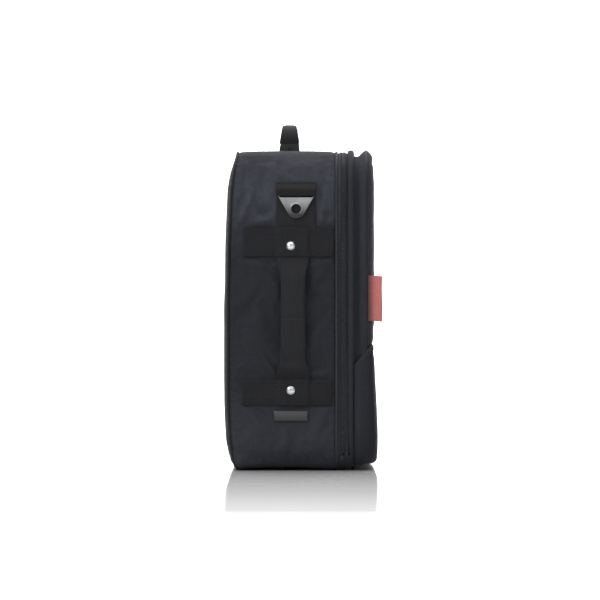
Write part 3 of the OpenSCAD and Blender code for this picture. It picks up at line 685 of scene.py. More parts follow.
# soft folds on the ends: from (y, z) to (y, z), height and half width
FOLDS_L = [(80, 334, 38, 329, 1.3, 8), (-18, 332, -40, 327, 2.4, 6), (-12, 272, -38, 277, 1.2, 8), (72, 272, 36, 268, 0.9, 8), (85, 330, 73, 357, 2.6, 5.5),
           (62, 327, 40, 336, 2.2, 6), (70, 352, 58, 334, 1.1, 6), (-36, 352, -14, 326, 1.4, 7), (-30, 372, -20, 330, 0.7, 6),
           (70, 278, 40, 246, 0.8, 9), (-36, 276, -12, 248, 0.8, 8), (52, 146, 40, 128, 1.6, 5), (-12, 127, -34, 127, 1.5, 5.5), (66, 150, 52, 126, 0.8, 6),
           (78, 82, 48, 50, 1.1, 8), (-32, 84, -14, 52, 0.9, 8), (20, 84, 30, 24, 0.6, 10), (48, 400, 30, 384, 0.6, 9)]
FOLDS_R = [(78, 336, 38, 329, 1.8, 8), (-12, 330, -36, 336, 2.0, 8), (-12, 271, -36, 276, 1.1, 8), (70, 272, 36, 267, 1.0, 8),
           (78, 348, 55, 320, 1.3, 7), (-34, 350, -12, 324, 1.5, 7), (74, 276, 44, 250, 0.9, 9), (-36, 272, -14, 246, 0.7, 8),
           (70, 130, 44, 160, 0.8, 9), (-30, 128, -8, 152, 0.6, 8), (74, 80, 44, 46, 1.0, 8), (-30, 82, -10, 56, 0.9, 8)]


# what is sewn over the ends holds the cloth flat beneath it
SEWN = ((-39, 81, 281, 322), (-37, 82, 85, 121), (RING_Y - 27, RING_Y + 27, 318, 384), (RIV_Y - 24, RIV_Y + 24, 63, 81))


def bare(y, z):
    """0 under a sewn piece, 1 from a few millimetres outside it."""
    f = 1.0
    for y0, y1, z0, z1 in SEWN:
        q = math.hypot(max(y0 - y, y - y1, 0.0), max(z0 - z, z - z1, 0.0))
        f = min(f, float(sstep(0.5, 7.0, q)))
    return f


def folds(y, z, lst):
    t = 0.0
    for y0, z0, y1, z1, amp, w in lst:
        dy, dz = y1 - y0, z1 - z0
        ln = math.hypot(dy, dz)
        a = ((y - y0) * dy + (z - z0) * dz) / ln
        if a < -20 or a > ln + 20:
            continue
        q = ((y - y0) * dz - (z - z0) * dy) / ln
        if abs(q) > 4 * w:
            continue
        fade = min(1.0, max(0.0, (a + 18) / 26)) * min(1.0, max(0.0, (ln + 18 - a) / 26))
        w *= 0.8
        t += 1.7 * amp * fade * (math.exp(-(q / w) ** 2) - 0.75 * math.exp(-((q - 1.7 * w) / w) ** 2))
    return t


def body_skin():
    P, N, S = rr(0.0, 3.0)
    ts = np.concatenate([np.linspace(0, 0.07, 6), np.linspace(0.093, 0.915, 38), np.linspace(0.937, 1, 6)])
    n, k = len(P), len(ts)
    Q = np.empty((n, k, 3))
    for i in range(n):
        x, z = P[i]
        nx, nzz = N[i]
        wt, wb, we = max(0, nzz) ** 2, max(0, -nzz) ** 2, nx * nx
        for j in range(k):
            t = ts[j]
            ye = float(rear_y(z)) - 1.3
            y = -40.7 + (ye + 40.7) * t
            b = 4 * t * (1 - t)
            d0, d1 = y + 40.7, ye - y
            d = pucker(S[i], d0, 0.32, 1.0) + pucker(S[i], d1, 0.32, 2.0)
            hold = 1 - 0.95 * math.exp(-((abs(x) - 96) / 34) ** 2 - ((y - 20) / 26) ** 2)
            d += wt * (1.9 * b ** 0.45 * hold + 0.6 * nz(x, y, z, 70, 3) * b * hold)
            d -= wb * 3.0 * b ** 0.7
            edge = min(1.0, d0 / 14, d1 / 14)
            d += edge * (0.55 * nz(x, y, z, 46, 5) + 0.28 * nz(x, y * 0.6, z, 19, 6)) * (0.75 + 0.25 * we) * (1 - 0.7 * we * (1 - bare(y, z)))
            if we > 0.3:
                d += we * edge * folds(y, z, FOLDS_L if x < 0 else FOLDS_R) * bare(y, z) - we * 0.35
                lean = sstep(322, 392, z) * sstep(24, 44, abs(y - RING_Y))
                d -= we * edge * 3.0 * float(lean)
            # the rounded corners slump a little between the seams
            c = 4 * we * (1 - we)
            d -= c * b * (0.9 if nzz > 0 else 0.5)
            Q[i, j] = (x + nx * d, y, z + nzz * d)
    Q[..., 2] = np.maximum(Q[..., 2], 0.0)
    V, F, uv = grid(Q, closed_u=True, flip=True, U=S * MM, Vv=np.append(ts * 132 - 40.7, 95) * MM)
    ob = make("body_skin", V, F, M_BODY, "case_body", uv, fix=False,
              replaces=("body_wall", "top_wall", "base_wall", "left_end_wall", "right_end_wall"))
    # held at both seams, under the bands, tabs, label and anchors, and on the floor
    C = Q.reshape(-1, 3)
    T = np.tile(ts, n)
    pin = np.zeros(len(C))
    pin = np.maximum(pin, 1 - sstep(0.0, 0.05, T))
    pin = np.maximum(pin, sstep(0.95, 1.0, T))
    end = np.abs(C[:, 0]) > EX - 8

    def hold(y0, y1, z0, z1, f=8.0):
        dy = np.maximum(np.maximum(y0 - C[:, 1], C[:, 1] - y1), 0)
        dz = np.maximum(np.maximum(z0 - C[:, 2], C[:, 2] - z1), 0)
        return end * (1 - sstep(0, f, np.hypot(dy, dz)))

    for q in ((-38, 80, 284, 318), (-36, 81, 89, 118), (RING_Y - 24, RING_Y + 24, 320, 380), (RIV_Y - 22, RIV_Y + 22, 65, 79)):
        pin = np.maximum(pin, hold(*q))
    pin = np.maximum(pin, (C[:, 2] > H - 12) * np.exp(-(np.maximum(np.abs(np.abs(C[:, 0]) - 96) - 17, 0) / 8) ** 2 - (np.maximum(np.abs(C[:, 1] - 20) - 17, 0) / 8) ** 2))
    pin = np.maximum(pin, (C[:, 2] < 12) * 1.0)
    pin = np.maximum(pin, 0.55 * sstep(H - 16, H - 4, C[:, 2]))
    slack(ob, np.clip(pin, 0, 1), grow=0.022, pressure=0.4, cap=3.2)
    solid(ob, 1.5)
    return ob


body_skin()


def rear_panel():
    G = patch(-EX + 0.6, EX - 0.6, 0.6, H - 0.6, R - 0.6, 118, 108)
    x, z = G[..., 0], G[..., 1]
    e = np.maximum(inside(x, z, -EX + 0.6, EX - 0.6, 0.6, H - 0.6, R - 0.6), 0)
    t = np.clip(e / 58.0, 0, 1)
    y = rear_y(z) + 0.5 + (3.2 + 1.2 * sstep(320, 380, z)) * (1 - (1 - t) ** 2.4)
    for i in range(G.shape[0]):
        for j in range(G.shape[1]):
            xx, zz, ee = x[i, j], z[i, j], e[i, j]
            s = xx if abs(zz - 210) / 210 > abs(xx) / 230 else zz
            w = min(1.0, ee / 18)
            y[i, j] += w * (0.9 * nz(xx, 0, zz, 90, 11) + 0.4 * nz(xx, 0, zz, 34, 12))
            y[i, j] += 0.42 * math.exp(-ee / 11) * math.sin(2 * PI * s / 13.0 + 4 * noise.noise(Vector((xx / 40, zz / 40, 2))))
    Q = np.stack([x, y, z], -1)
    V, F, uv = grid(Q, flip=True, U=x * MM, Vv=z * MM)
    ob = make("rear_skin", V, F, M_NYLON, "case_body", uv, fix=False, replaces=("rear_panel", "back_foam"))
    pin = 1 - sstep(0.0, 9.0, e.ravel())
    slack(ob, pin, grow=0.018, pressure=0.3, cap=1.7)
    solid(ob, 1.5)
    return ob


rear_panel()


def wavy(amp, scale, seed):
    def f(P, N, S, D, Y):
        for i in range(len(P)):
            w = amp * noise.noise(Vector((S[i] / scale, seed, 0)))
            v = amp * 0.7 * noise.noise(Vector((S[i] / scale, seed + 9, 4)))
            D[i] += w
            Y[i] += v
        return D, Y
    return f


def piping(name, node, d, y, zb, body, r=1.75, seed=1.0, lift=0.0):
    w = wavy(0.35, 28, seed)

    def mod(P, N, S, D, Y):
        D, Y = w(P, N, S, D, Y)
        if name.startswith("rear"):
            Y += (rear_y(P[:, 1]) - Y_REAR)[:, None]
            D += (0.1 * sstep(0.3, 0.9, N[:, 1]))[:, None]
        D += (lift * sstep(150, 190, P[:, 1]))[:, None]
        return D, Y
    V, F, uv = sweep(rr(zb, 3.0), disc(d, y, r, 12), mod=mod)
    return make(name, V, F, M_FPIPE if name.startswith("front") else M_PIPE, body, uv, replaces=(node,))


piping("rear_piping_cord", "rear_piping", -0.5, Y_REAR, 1.9, "case_body", seed=1.5)
piping("front_piping_cord", "front_piping", 0.0, Y_FRONT, 1.9, "case_body", seed=2.5)
piping("lid_piping_cord", "lid_piping", -1.7, Y_LP, ZB_LID, "lid", r=1.9, seed=3.5, lift=3.4)

# ------------------------------------------------------------------ zip
BODY_PATH = rr(0.0, 3.0)
ABOVE = BODY_PATH[0][:, 1] > 19.8
V, F, uv = sweep(BODY_PATH, [(-1.0, -42.2), (-0.7, -44.5), (-0.75, -46.6), (-1.2, -47.6), (-2.1, -47.6), (-2.2, -42.2)], mod=wavy(0.15, 22, 5))
make("zip_strip_body_cloth", V, F, M_ZSTRIP, "case_body", uv, replaces=("zip_strip_body",))
V, F, uv = sweep(BODY_PATH, [(-1.25, -47.4), (-1.2, -50.9), (-1.9, -51.1), (-2.0, -47.4)], keep=ABOVE)
make("zip_tape_body_cloth", V, F, M_TAPE, "case_body", uv, replaces=("zip_tape_body",))
V, F, uv = sweep(BODY_PATH, [(-1.2, -53.1), (-1.25, -57.3), (-2.0, -57.3), (-1.9, -52.9)], keep=ABOVE)
make("zip_tape_lid_cloth", V, F, M_LTAPE, "lid", uv, replaces=("zip_tape_lid",))


def teeth(name, node, side, body):
    """One half of the chain: looped teeth that reach just past the middle between those of the other half."""
    P, N, S = rr(0.0, 1.0)
    idx = np.where(P[:, 1] > 20.5)[0]
    p, n = P[idx], N[idx]
    d = np.concatenate([[0], np.cumsum(np.linalg.norm(np.diff(p, axis=0), axis=1))])
    pitch = 2.6
    Vs, Fs = [], []
    prof = [(0.0, 0.55), (0.15, 1.0), (0.8, 1.0), (0.93, 1.18), (1.0, 0.7)]
    for q in range(int(d[-1] / pitch) - 1):
        c = (q + 0.5 + (0.5 if side < 0 else 0)) * pitch
        a = np.array([np.interp(c, d, p[:, 0]), np.interp(c, d, p[:, 1])])
        m = np.array([np.interp(c, d, n[:, 0]), np.interp(c, d, n[:, 1])])
        m /= np.linalg.norm(m)
        t = np.array([-m[1], m[0]])
        o = len(Vs)
        y0, y1 = Y_ZIP + side * 3.3, Y_ZIP - side * 0.45
        for f, w in prof:
            y = y0 + (y1 - y0) * f
            for s in range(6):
                g = 2 * PI * s / 6
                q2 = a + m * (-0.45 + 0.85 * w * math.sin(g)) + t * 0.78 * w * math.cos(g)
                Vs.append((q2[0], y, q2[1]))
        for r in range(len(prof) - 1):
            for s in range(6):
                s2 = (s + 1) % 6
                Fs.append((o + r * 6 + s, o + r * 6 + s2, o + r * 6 + 6 + s2, o + r * 6 + 6 + s))
        Fs.append(tuple(o + s for s in range(6)))
        Fs.append(tuple(o + (len(prof) - 1) * 6 + s for s in range(6)))
    make(name, Vs, Fs, M_COIL, body, replaces=(node,))


teeth("zip_teeth_body", "zip_coil_body", 1, "case_body")
teeth("zip_teeth_lid", "zip_coil_lid", -1, "lid")

# ------------------------------------------------------------------ lid
RIM_PATH = rr(ZB_RIM, 3.0)


def rim_mod(P, N, S, D, Y):
    for i in range(len(P)):
        a = 0.45 * noise.noise(Vector((S[i] / 45, 3.3, 0))) + 0.2 * noise.noise(Vector((S[i] / 13, 8.3, 0)))
        top = D[i] > -1.5
        D[i] = np.where(top, D[i] + a + 1.6 * sstep(120, 190, P[i, 1]), D[i])
        if N[i, 1] < -0.5:
            D[i] = np.where(D[i] < -3, D[i] - 4.5 * min(1.0, (-N[i, 1] - 0.5) * 2), D[i])
    return D, Y


V, F, uv = sweep(RIM_PATH, [(-1.9, -56.9), (-0.4, -57.3), (0.7, -58.6), (1.25, -60.4), (1.35, -62.0), (0.9, -63.8), (-0.3, -65.2), (-2.2, -65.9),
                            (-4.6, -66.0), (-5.4, -65.5), (-5.4, -57.4), (-4.4, -57.0)], mod=rim_mod)
make("lid_rim_cloth", V, F, M_RIM, "lid", uv, replaces=("lid_rim",))


def lidwall_mod(P, N, S, D, Y):
    for i in range(len(P)):
        a = 0.5 * noise.noise(Vector((S[i] / 38, 6.1, 0))) + 0.3 * math.sin(2 * PI * S[i] / 14 + 3 * noise.noise(Vector((S[i] / 50, 1, 7))))
        w = np.exp(-((Y[i] + 77) / 6) ** 2) + 0.5 * np.exp(-((Y[i] + 70) / 5) ** 2)
        up = 5.4 * sstep(0.0, 1.0, (-70.0 - Y[i]) / 8.0) * sstep(150, 190, P[i, 1])
        D[i] = D[i] + (a * w + up) * (D[i] > -7)
    return D, Y


V, F, uv = sweep(rr(ZB_LID, 3.0), [(-4.3, -64.8), (-5.0, -67.0), (-5.5, -69.5), (-5.6, -72.0), (-5.3, -75.0), (-4.6, -77.5), (-3.7, -79.3), (-3.1, -80.2), (-3.1, -82.4),
                                   (-7.4, -82.6), (-7.5, -75.0), (-7.5, -66.0), (-7.4, -57.4), (-5.9, -57.2), (-5.7, -61.0)], mod=lidwall_mod)
make("lid_wall_cloth", V, F, M_LIDW, "lid", uv, replaces=("lid_wall",))

PAD = (-EX + 12, EX - 12, 182.0, H - 14.0)


def lid_front():
    G = patch(-EX - 2.4, EX + 2.4, ZB_LID + 1, H + 2.4, R + 2.4, 122, 108)
    x, z = G[..., 0], G[..., 1]
    e = np.maximum(inside(x, z, -EX - 2.4, EX + 2.4, ZB_LID + 1, H + 2.4, R + 2.4), 0)
    x *= 1 - 3.8 / EX * (1 - sstep(150, 185, z))
    pe = inside(x, z, PAD[0], PAD[1], PAD[2], PAD[3], 26.0)
    out = 6.2 * (1 - (1 - np.clip(e / 12, 0, 1)) ** 2.3) + 1.8 * (1 - (1 - np.clip(e / 90, 0, 1)) ** 2)
    seam = -1.2 * np.exp(-((pe + 1.5) / 2.4) ** 2)
    out = out + seam * (z > 150)
    low = sstep(140, 172, z)
    out = out * low + 0.5 * (1 - low)
    out = np.minimum(out, 3.6 + np.maximum(0.0, z - 165) * 0.75)
    for i in range(G.shape[0]):
        for j in range(G.shape[1]):
            xx, zz = x[i, j], z[i, j]
            w = min(1.0, max(0.0, pe[i, j]) / 16)
            s = xx if (zz < PAD[2] + 30 or zz > PAD[3] - 30) else zz
            out[i, j] += w * (0.7 * nz(xx, 5, zz, 80, 21) + 0.35 * nz(xx, 5, zz, 30, 22))
            if pe[i, j] > -4:
                out[i, j] += 0.35 * math.exp(-abs(pe[i, j]) / 8) * math.sin(2 * PI * s / 11.5 + 4 * noise.noise(Vector((xx / 45, zz / 45, 5))))
            out[i, j] += 0.25 * nz(xx, 1, zz, 24, 23) * min(1.0, e[i, j] / 5)
    y = Y_LO + 0.6 - out
    Q = np.stack([x, y, z], -1)
    V, F, uv = grid(Q, U=x * MM, Vv=z * MM)
    ob = make("lid_front_skin", V, F, M_NYLON, "lid", uv, fix=False, replaces=("lid_front_panel", "lid_upper_pad"))
    pin = np.maximum(1 - sstep(0.0, 7.0, e), np.exp(-((pe + 1.5) / 4.0) ** 2))
    pin = np.maximum(pin, 1 - sstep(168, 178, z))
    slack(ob, np.clip(pin.ravel(), 0, 1), grow=0.018, pressure=0.2, cap=1.6)
    solid(ob, 1.0)
    return G, y


LG, LY = lid_front()


def lid_y(x, z):
    """Outer face of the lid front near (x, z)."""
    k = np.argmin((LG[..., 0] - x) ** 2 + (LG[..., 1] - z) ** 2)
    return LY.ravel()[k]


# ------------------------------------------------------------------ front pocket
PZ, PZS = 164.0, 138.0
PY_T, PY_B, PY_IN = Y_LO - 5.9, Y_LO - 12.0, Y_RIM1 - 0.2


def pocket_y(z):
    return PY_T + (PY_B - PY_T) * np.clip((PZ - z) / (PZ - 8), 0, 1)


def mouth_z(y):
    return PZS + (PZ - PZS) * np.clip((PY_IN - y) / (PY_IN - PY_T - 2), 0, 1)


def pocket_build():
    """One lofted sheet: the pocket's front face with a belly, its edges rolled back where the side and bottom strips
    meet it.
    """
    hx, z0 = EX + 1.3, ZB_LID - 1.3
    nu, nv = 130, 62
    rcr = R + 1.3
    G = patch(-hx, hx, z0, PZ + 60, rcr, nu, nv + 40, rb=rcr)
    us = np.linspace(-1, 1, nu)
    # front face: columns across, rows from the foot up to the mouth, following the rounded foot
    rows = np.linspace(0, 1, nv)
    parts = []
    X = np.empty((nu, nv)); Z = np.empty((nu, nv))
    for a, u in enumerate(us):
        x = u * (hx - 2.0)
        q = max(0.0, abs(x) - (hx - rcr))
        foot = z0 + 1.6 + (rcr - math.sqrt(max(0.0, rcr ** 2 - q ** 2)))
        X[a] = x
        Z[a] = foot + (PZ - foot) * rows
    E = np.minimum(inside(X, Z, -hx, hx, z0, PZ + 200, rcr), 400)
    t = np.clip(E / 45.0, 0, 1)
    belly = 1.8 * (1 - (1 - t) ** 2) * (0.35 + 0.65 * np.sin(np.clip((Z - z0) / (PZ - z0), 0, 1) * PI) ** 0.8)
    roll = 1.8 * (1 - np.sqrt(np.clip(1 - np.clip(1 - (E - 1.6) / 3.0, 0, 1) ** 2, 0, 1)))
    Y = pocket_y(Z) - belly + roll
    for a in range(nu):
        for b in range(nv):
            w = min(1.0, E[a, b] / 20)
            Y[a, b] += w * (0.8 * nz(X[a, b], 2, Z[a, b], 70, 41) + 0.4 * nz(X[a, b], 2, Z[a, b] * 0.7, 26, 42))
            # slack mouth: leans out between the ends
            m = math.exp(-(PZ - Z[a, b]) / 26.0)
            Y[a, b] -= m * (0.1 + 0.9 * (1 - us[a] ** 2) + 0.7 * math.sin(us[a] * 9 + 1.2) * (1 - abs(us[a])))
    Q = np.stack([X, Y, Z], -1)
    return Q, E


PQ, PE = pocket_build()
V, F, uv = grid(PQ, U=PQ[..., 0] * MM, Vv=PQ[..., 2] * MM)
ob = make("pocket_face", V, F, M_NYLON, "lid", uv, fix=False, replaces=("front_pocket",))
pin = np.maximum(1 - sstep(0.0, 9.0, PE), sstep(PZ - 16, PZ - 7, PQ[..., 2]))
slack(ob, np.clip(pin.ravel(), 0, 1), grow=0.018, pressure=0.1, cap=1.3)
solid(ob, 1.1)


def pocket_side():
    """Strip round the sides and the foot of the pocket, from the face's edge back to the lid rim."""
    left = [(PQ[0, b], -1.0) for b in range(PQ.shape[1] - 1, -1, -1)]
    foot = [(PQ[a, 0], 0.0) for a in range(1, PQ.shape[0] - 1)]
    right = [(PQ[-1, b], 1.0) for b in range(PQ.shape[1])]
    run = np.array([q[0] for q in left + foot + right])
    hx, z0 = EX + 1.3, ZB_LID - 1.3
    rcr = R + 1.3
    nk = 15
    Q = np.empty((len(run), nk, 3))
    s = np.concatenate([[0], np.cumsum(np.linalg.norm(np.diff(run, axis=0), axis=1))])
    for i, (x, y, z) in enumerate(run):
        # matching point and normal on the outline
        cx = math.copysign(hx - rcr, x)
        if z > z0 + rcr:
            ox, oz, nx, nn = math.copysign(hx, x), z, math.copysign(1, x), 0.0
        elif abs(x) < hx - rcr:
            ox, oz, nx, nn = x, z0, 0.0, -1.0
        else:
            a = math.atan2(z - (z0 + rcr), x - cx)
            ox, oz, nx, nn = cx + rcr * math.cos(a), z0 + rcr + rcr * math.sin(a), math.cos(a), math.sin(a)
        for k in range(nk):
            f = k / (nk - 1)
            yy = y + (PY_IN - y) * f
            # face edge rolls out to the strip over the first few steps
            w = min(1.0, f / 0.16)
            w = math.sin(w * PI / 2)
            px, pz = x + (ox - x) * w, z + (oz - z) * w
            zt = float(mouth_z(yy)) + 0.0
            bow = 0.5 * math.sin(PI * f) * w + 0.45 * noise.noise(Vector((s[i] / 30, f * 1.6, 4.2))) * math.sin(PI * f)
            px += nx * bow
            pz += nn * bow + (nn * 3.6 * f if nn < 0 else 0.0)
            Q[i, k] = (px, yy, min(pz, zt))
    V, F, uv = grid(Q, U=s * MM, Vv=np.linspace(0, 0.03, nk + 1))
    return Q, V, F, uv


SQ, V, F, uv = pocket_side()
ob = make("pocket_side", V, F, M_PSIDE, "lid", uv, fix=False)
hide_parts("front_pocket")
solid(ob, 1.1, 0.0)


def tube_along(pts, r, n=8, squash_dir=None, squash=1.0, caps=True):
    pts = np.asarray(pts, float)
    pts = pts[np.r_[True, np.linalg.norm(np.diff(pts, axis=0), axis=1) > 1e-3]]     # repeated points dropped
    m = len(pts)
    T = np.gradient(pts, axis=0)
    T /= np.linalg.norm(T, axis=1)[:, None] + 1e-9
    up = np.array([0.0, 0, 1.0]) if squash_dir is None else np.asarray(squash_dir, float)
    Q = np.empty((m, n, 3))
    for i in range(m):
        b = np.cross(T[i], up)
        if np.linalg.norm(b) < 1e-4:
            b = np.cross(T[i], (1.0, 0.01, 0))
        b /= np.linalg.norm(b)
        c = np.cross(b, T[i])
        for k in range(n):
            g = 2 * PI * k / n
            Q[i, k] = pts[i] + r * (b * math.cos(g) * squash + c * math.sin(g))
    d = np.concatenate([[0], np.cumsum(np.linalg.norm(np.diff(pts, axis=0), axis=1)), [0]])
    V, F, uv = grid(Q, closed_v=True, U=d * MM, Vv=np.linspace(0, 2 * PI * r, n + 1) * MM)
    F = [tuple(f) for f in F]
    if caps:
        F.append(tuple(range(n - 1, -1, -1)))
        F.append(tuple((m - 1) * n + k for k in range(n)))
        uv = np.concatenate([uv, np.zeros((2 * n, 2))])
    return V, F, uv


# bound edge of the mouth: a folded tape over the face's top edge, and down the slant of each side
def bind_tape(pts, side_n, w_in, w_out, t=1.3):
    """Tape folded over an edge. pts run along the edge; side_n points off the cloth's outer face."""
    pts = np.asarray(pts, float)
    T = np.gradient(pts, axis=0)
    T /= np.linalg.norm(T, axis=1)[:, None] + 1e-9
    sn = np.asarray(side_n, float)
    if sn.ndim == 1:
        sn = np.repeat(sn[None], len(pts), 0)
    up = np.cross(T, sn)
    up /= np.linalg.norm(up, axis=1)[:, None]
    prof = [(-w_out, 0.35 * t), (-w_out * 0.5, 0.95 * t), (0.2, 0.95 * t), (0.9, 0.5 * t), (1.1, -0.2 * t), (0.7, -1.0 * t), (0.0, -1.35 * t), (-w_in, -1.3 * t), (-w_in, -0.6 * t), (-w_out, -0.3 * t)]
    Q = np.stack([pts + up * a + sn * b for a, b in prof], 1)
    d = np.concatenate([[0], np.cumsum(np.linalg.norm(np.diff(pts, axis=0), axis=1)), [0]])
    V, F, uv = grid(Q, closed_v=True, U=d * MM, Vv=np.arange(len(prof) + 1) * 0.0025)
    k, m = len(prof), len(pts)
    F = [tuple(f) for f in F] + [tuple(range(k)), tuple((m - 1) * k + q for q in range(k))]
    uv = np.concatenate([uv, np.zeros((2 * k, 2))])
    return V, F, uv


parts = []
top = PQ[:, -1] + np.array([0, 0.5, 0.3])
parts.append(bind_tape(top[::-1], (0, -1, 0), 7.0, 7.5))
for sgn, line in ((-1, SQ[0]), (1, SQ[-1])):
    parts.append(bind_tape(line[::1] if sgn < 0 else line[::-1], (sgn, 0, 0), 4.0, 4.5, 1.1))
V, F, uv = join_parts(parts)
make("pocket_edge_binding", V, F, M_PIPE, "lid", uv, replaces=("pocket_binding",))
# ridge along the rear edge of the pocket's side strip, where it is sewn to the lid
rear_line = SQ[:, -1]
sel = np.arange(0, len(rear_line))
V, F, uv = tube_along(rear_line + np.array([0, -1.2, 0]), 1.6, 8)
make("pocket_rear_ridge", V, F, M_RIM, "lid", uv)

# ------------------------------------------------------------------ red tag: ribbon folded double, sewn into the lid seam
def tag():
    z0, z1 = 197.0, 257.0
    x0 = -EX - 1.4
    ya, yb = Y_LO + 1.2, -101.2
    half = list(np.linspace(0, 1, 14))
    run = [(0.25 + 0.45 * math.sin(PI * f) ** 0.8 + 0.35 * f, ya + (yb - ya) * f) for f in half]
    run += [(0.6 * math.cos(math.radians(a)), yb - 0.9 * math.sin(math.radians(a))) for a in (25, 50, 75, 105, 130, 155)]
    run += [(-(0.25 + 0.45 * math.sin(PI * f) ** 0.8 + 0.35 * f), ya + (yb - ya) * f) for f in half[::-1]]
    zs = np.linspace(z0, z1, 34)
    Q = np.empty((len(zs), len(run), 3))
    for i, z in enumerate(zs):
        for k, (a, y) in enumerate(run):
            f = np.clip((ya - y) / (ya - yb), 0, 1)
            curl = -1.6 * f ** 2 + 0.8 * f * math.sin((z - z0) / 60 * PI * 1.4 + 0.5)
            Q[i, k] = (x0 + a + curl, y + 0.35 * math.sin(z / 9.0) * f, z + 1.0 * f * math.sin((y + 90) / 12))
    d = np.concatenate([[0], np.cumsum([math.dist(run[k], run[k + 1]) for k in range(len(run) - 1)]), [0]])
    V, F, uv = grid(Q, U=np.append(zs, 0) * MM, Vv=d * MM)
    ob = make("red_tag_ribbon", V, F, M_RED, "lid", uv, fix=False, replaces=("red_tag",))
    solid(ob, 0.35, 0.0)


tag()

# ------------------------------------------------------------------ ends
def strip(center, wide, thick, yfun=None, u0=0.0):
    """Flat webbing: center (n, 3) points, wide (n,) half widths along Y, thick (n,) half thicknesses; rounded edges."""
    center = np.asarray(center, float)
    n = len(center)
    T = np.gradient(center, axis=0)
    T /= np.linalg.norm(T, axis=1)[:, None]
    Yv = np.array([0, 1.0, 0])
    B = np.cross(T, Yv)
    B /= np.linalg.norm(B, axis=1)[:, None]
    sec = []
    for f in np.linspace(-0.94, 0.94, 13):
        sec.append((f, 1.0))
    sec += [(0.985, 0.75), (1.0, 0.0), (0.985, -0.75)]
    for f in np.linspace(0.94, -0.94, 13):
        sec.append((f, -1.0))
    sec += [(-0.985, -0.75), (-1.0, 0.0), (-0.985, 0.75)]
    k = len(sec)
    Q = np.empty((n, k, 3))
    for j, (a, b) in enumerate(sec):
        Q[:, j] = center + Yv * (np.asarray(wide) * a)[:, None] + B * (np.asarray(thick) * b)[:, None]
    if yfun is not None:
        Q = yfun(Q, sec)
    d = np.concatenate([[0], np.cumsum(np.linalg.norm(np.diff(center, axis=0), axis=1)), [0]])
    per = [0.0]
    w = float(np.max(wide))
    for j in range(k):
        a, b = sec[j], sec[(j + 1) % k]
        per.append(per[-1] + math.hypot((a[0] - b[0]) * w, (a[1] - b[1]) * float(np.max(thick))))
    V, F, uv = grid(Q, closed_v=True, U=d * MM + u0, Vv=np.array(per) * MM)
    uv = uv[:, ::-1]           # cords run along the strip
    F = [tuple(f) for f in F] + [tuple(range(k)), tuple((n - 1) * k + q for q in range(k))]
    uv = np.concatenate([uv, np.zeros((2 * k, 2))])
    return V, F, uv


def mirror_part(V, F, uv, s):
    V = np.array(V, float).copy()
    if s > 0:
        V[:, 0] *= -1
        F = [tuple(f)[::-1] for f in F]
        uv2, o = [], 0
        uv = np.asarray(uv)
        for f in F:
            uv2.append(uv[o:o + len(f)][::-1])
            o += len(f)
        uv = np.concatenate(uv2)
    return V, F, uv


def band(z0, z1, ya, yb, seed):
    """Reinforcing band, drawn for the left end: flat at its ends, lifted over the strap, with folded edges."""
    w = GRIP_W / 2 + 2.2
    a, b = GRIP_Y - w, GRIP_Y + w
    ny, nzv = 84, 22
    ys = np.linspace(ya, yb, ny)
    zs = np.linspace(z0, z1, nzv)
    Q = np.empty((ny, nzv, 3))
    for i, y in enumerate(ys):
        lift = 2.4 * float(sstep(a - 5, a + 1, y) * (1 - sstep(b - 1, b + 5, y)))
        dy = min(y - ya, yb - y)
        for j, z in enumerate(zs):
            dz = min(z - z0, z1 - z)
            hem = 0.25 * math.exp(-((dz - 4.2) / 1.1) ** 2) + 0.25 * math.exp(-((dy - 4.2) / 1.1) ** 2)
            pull = 0.5 * math.exp(-((y - RIV_Y) ** 2 + (z - (RIV_HI if z0 > 200 else RIV_LO)) ** 2) / 90.0)
            wob = 0.35 * nz(y, z, seed, 22, seed) + 0.2 * math.sin(z / 2.3 + y / 7) * math.exp(-dy / 6)
            x = -EX - 1.55 - lift - wob * min(1, dz / 4) + hem + pull
            edge = math.exp(-dz / 1.0) * 0.5 + math.exp(-dy / 1.0) * 0.5
            Q[i, j] = (x + edge, y + 0.4 * math.sin(z / 5 + seed) * (1 if dy < 3 else 0), z + 0.45 * noise.noise(Vector((y / 18, seed, 0))) * (1 if dz < 6 else 0.5))
    V, F, uv = grid(Q, flip=False, U=np.append(ys, 0) * MM, Vv=np.append(zs, 0) * MM)
    return Q, V, F, uv


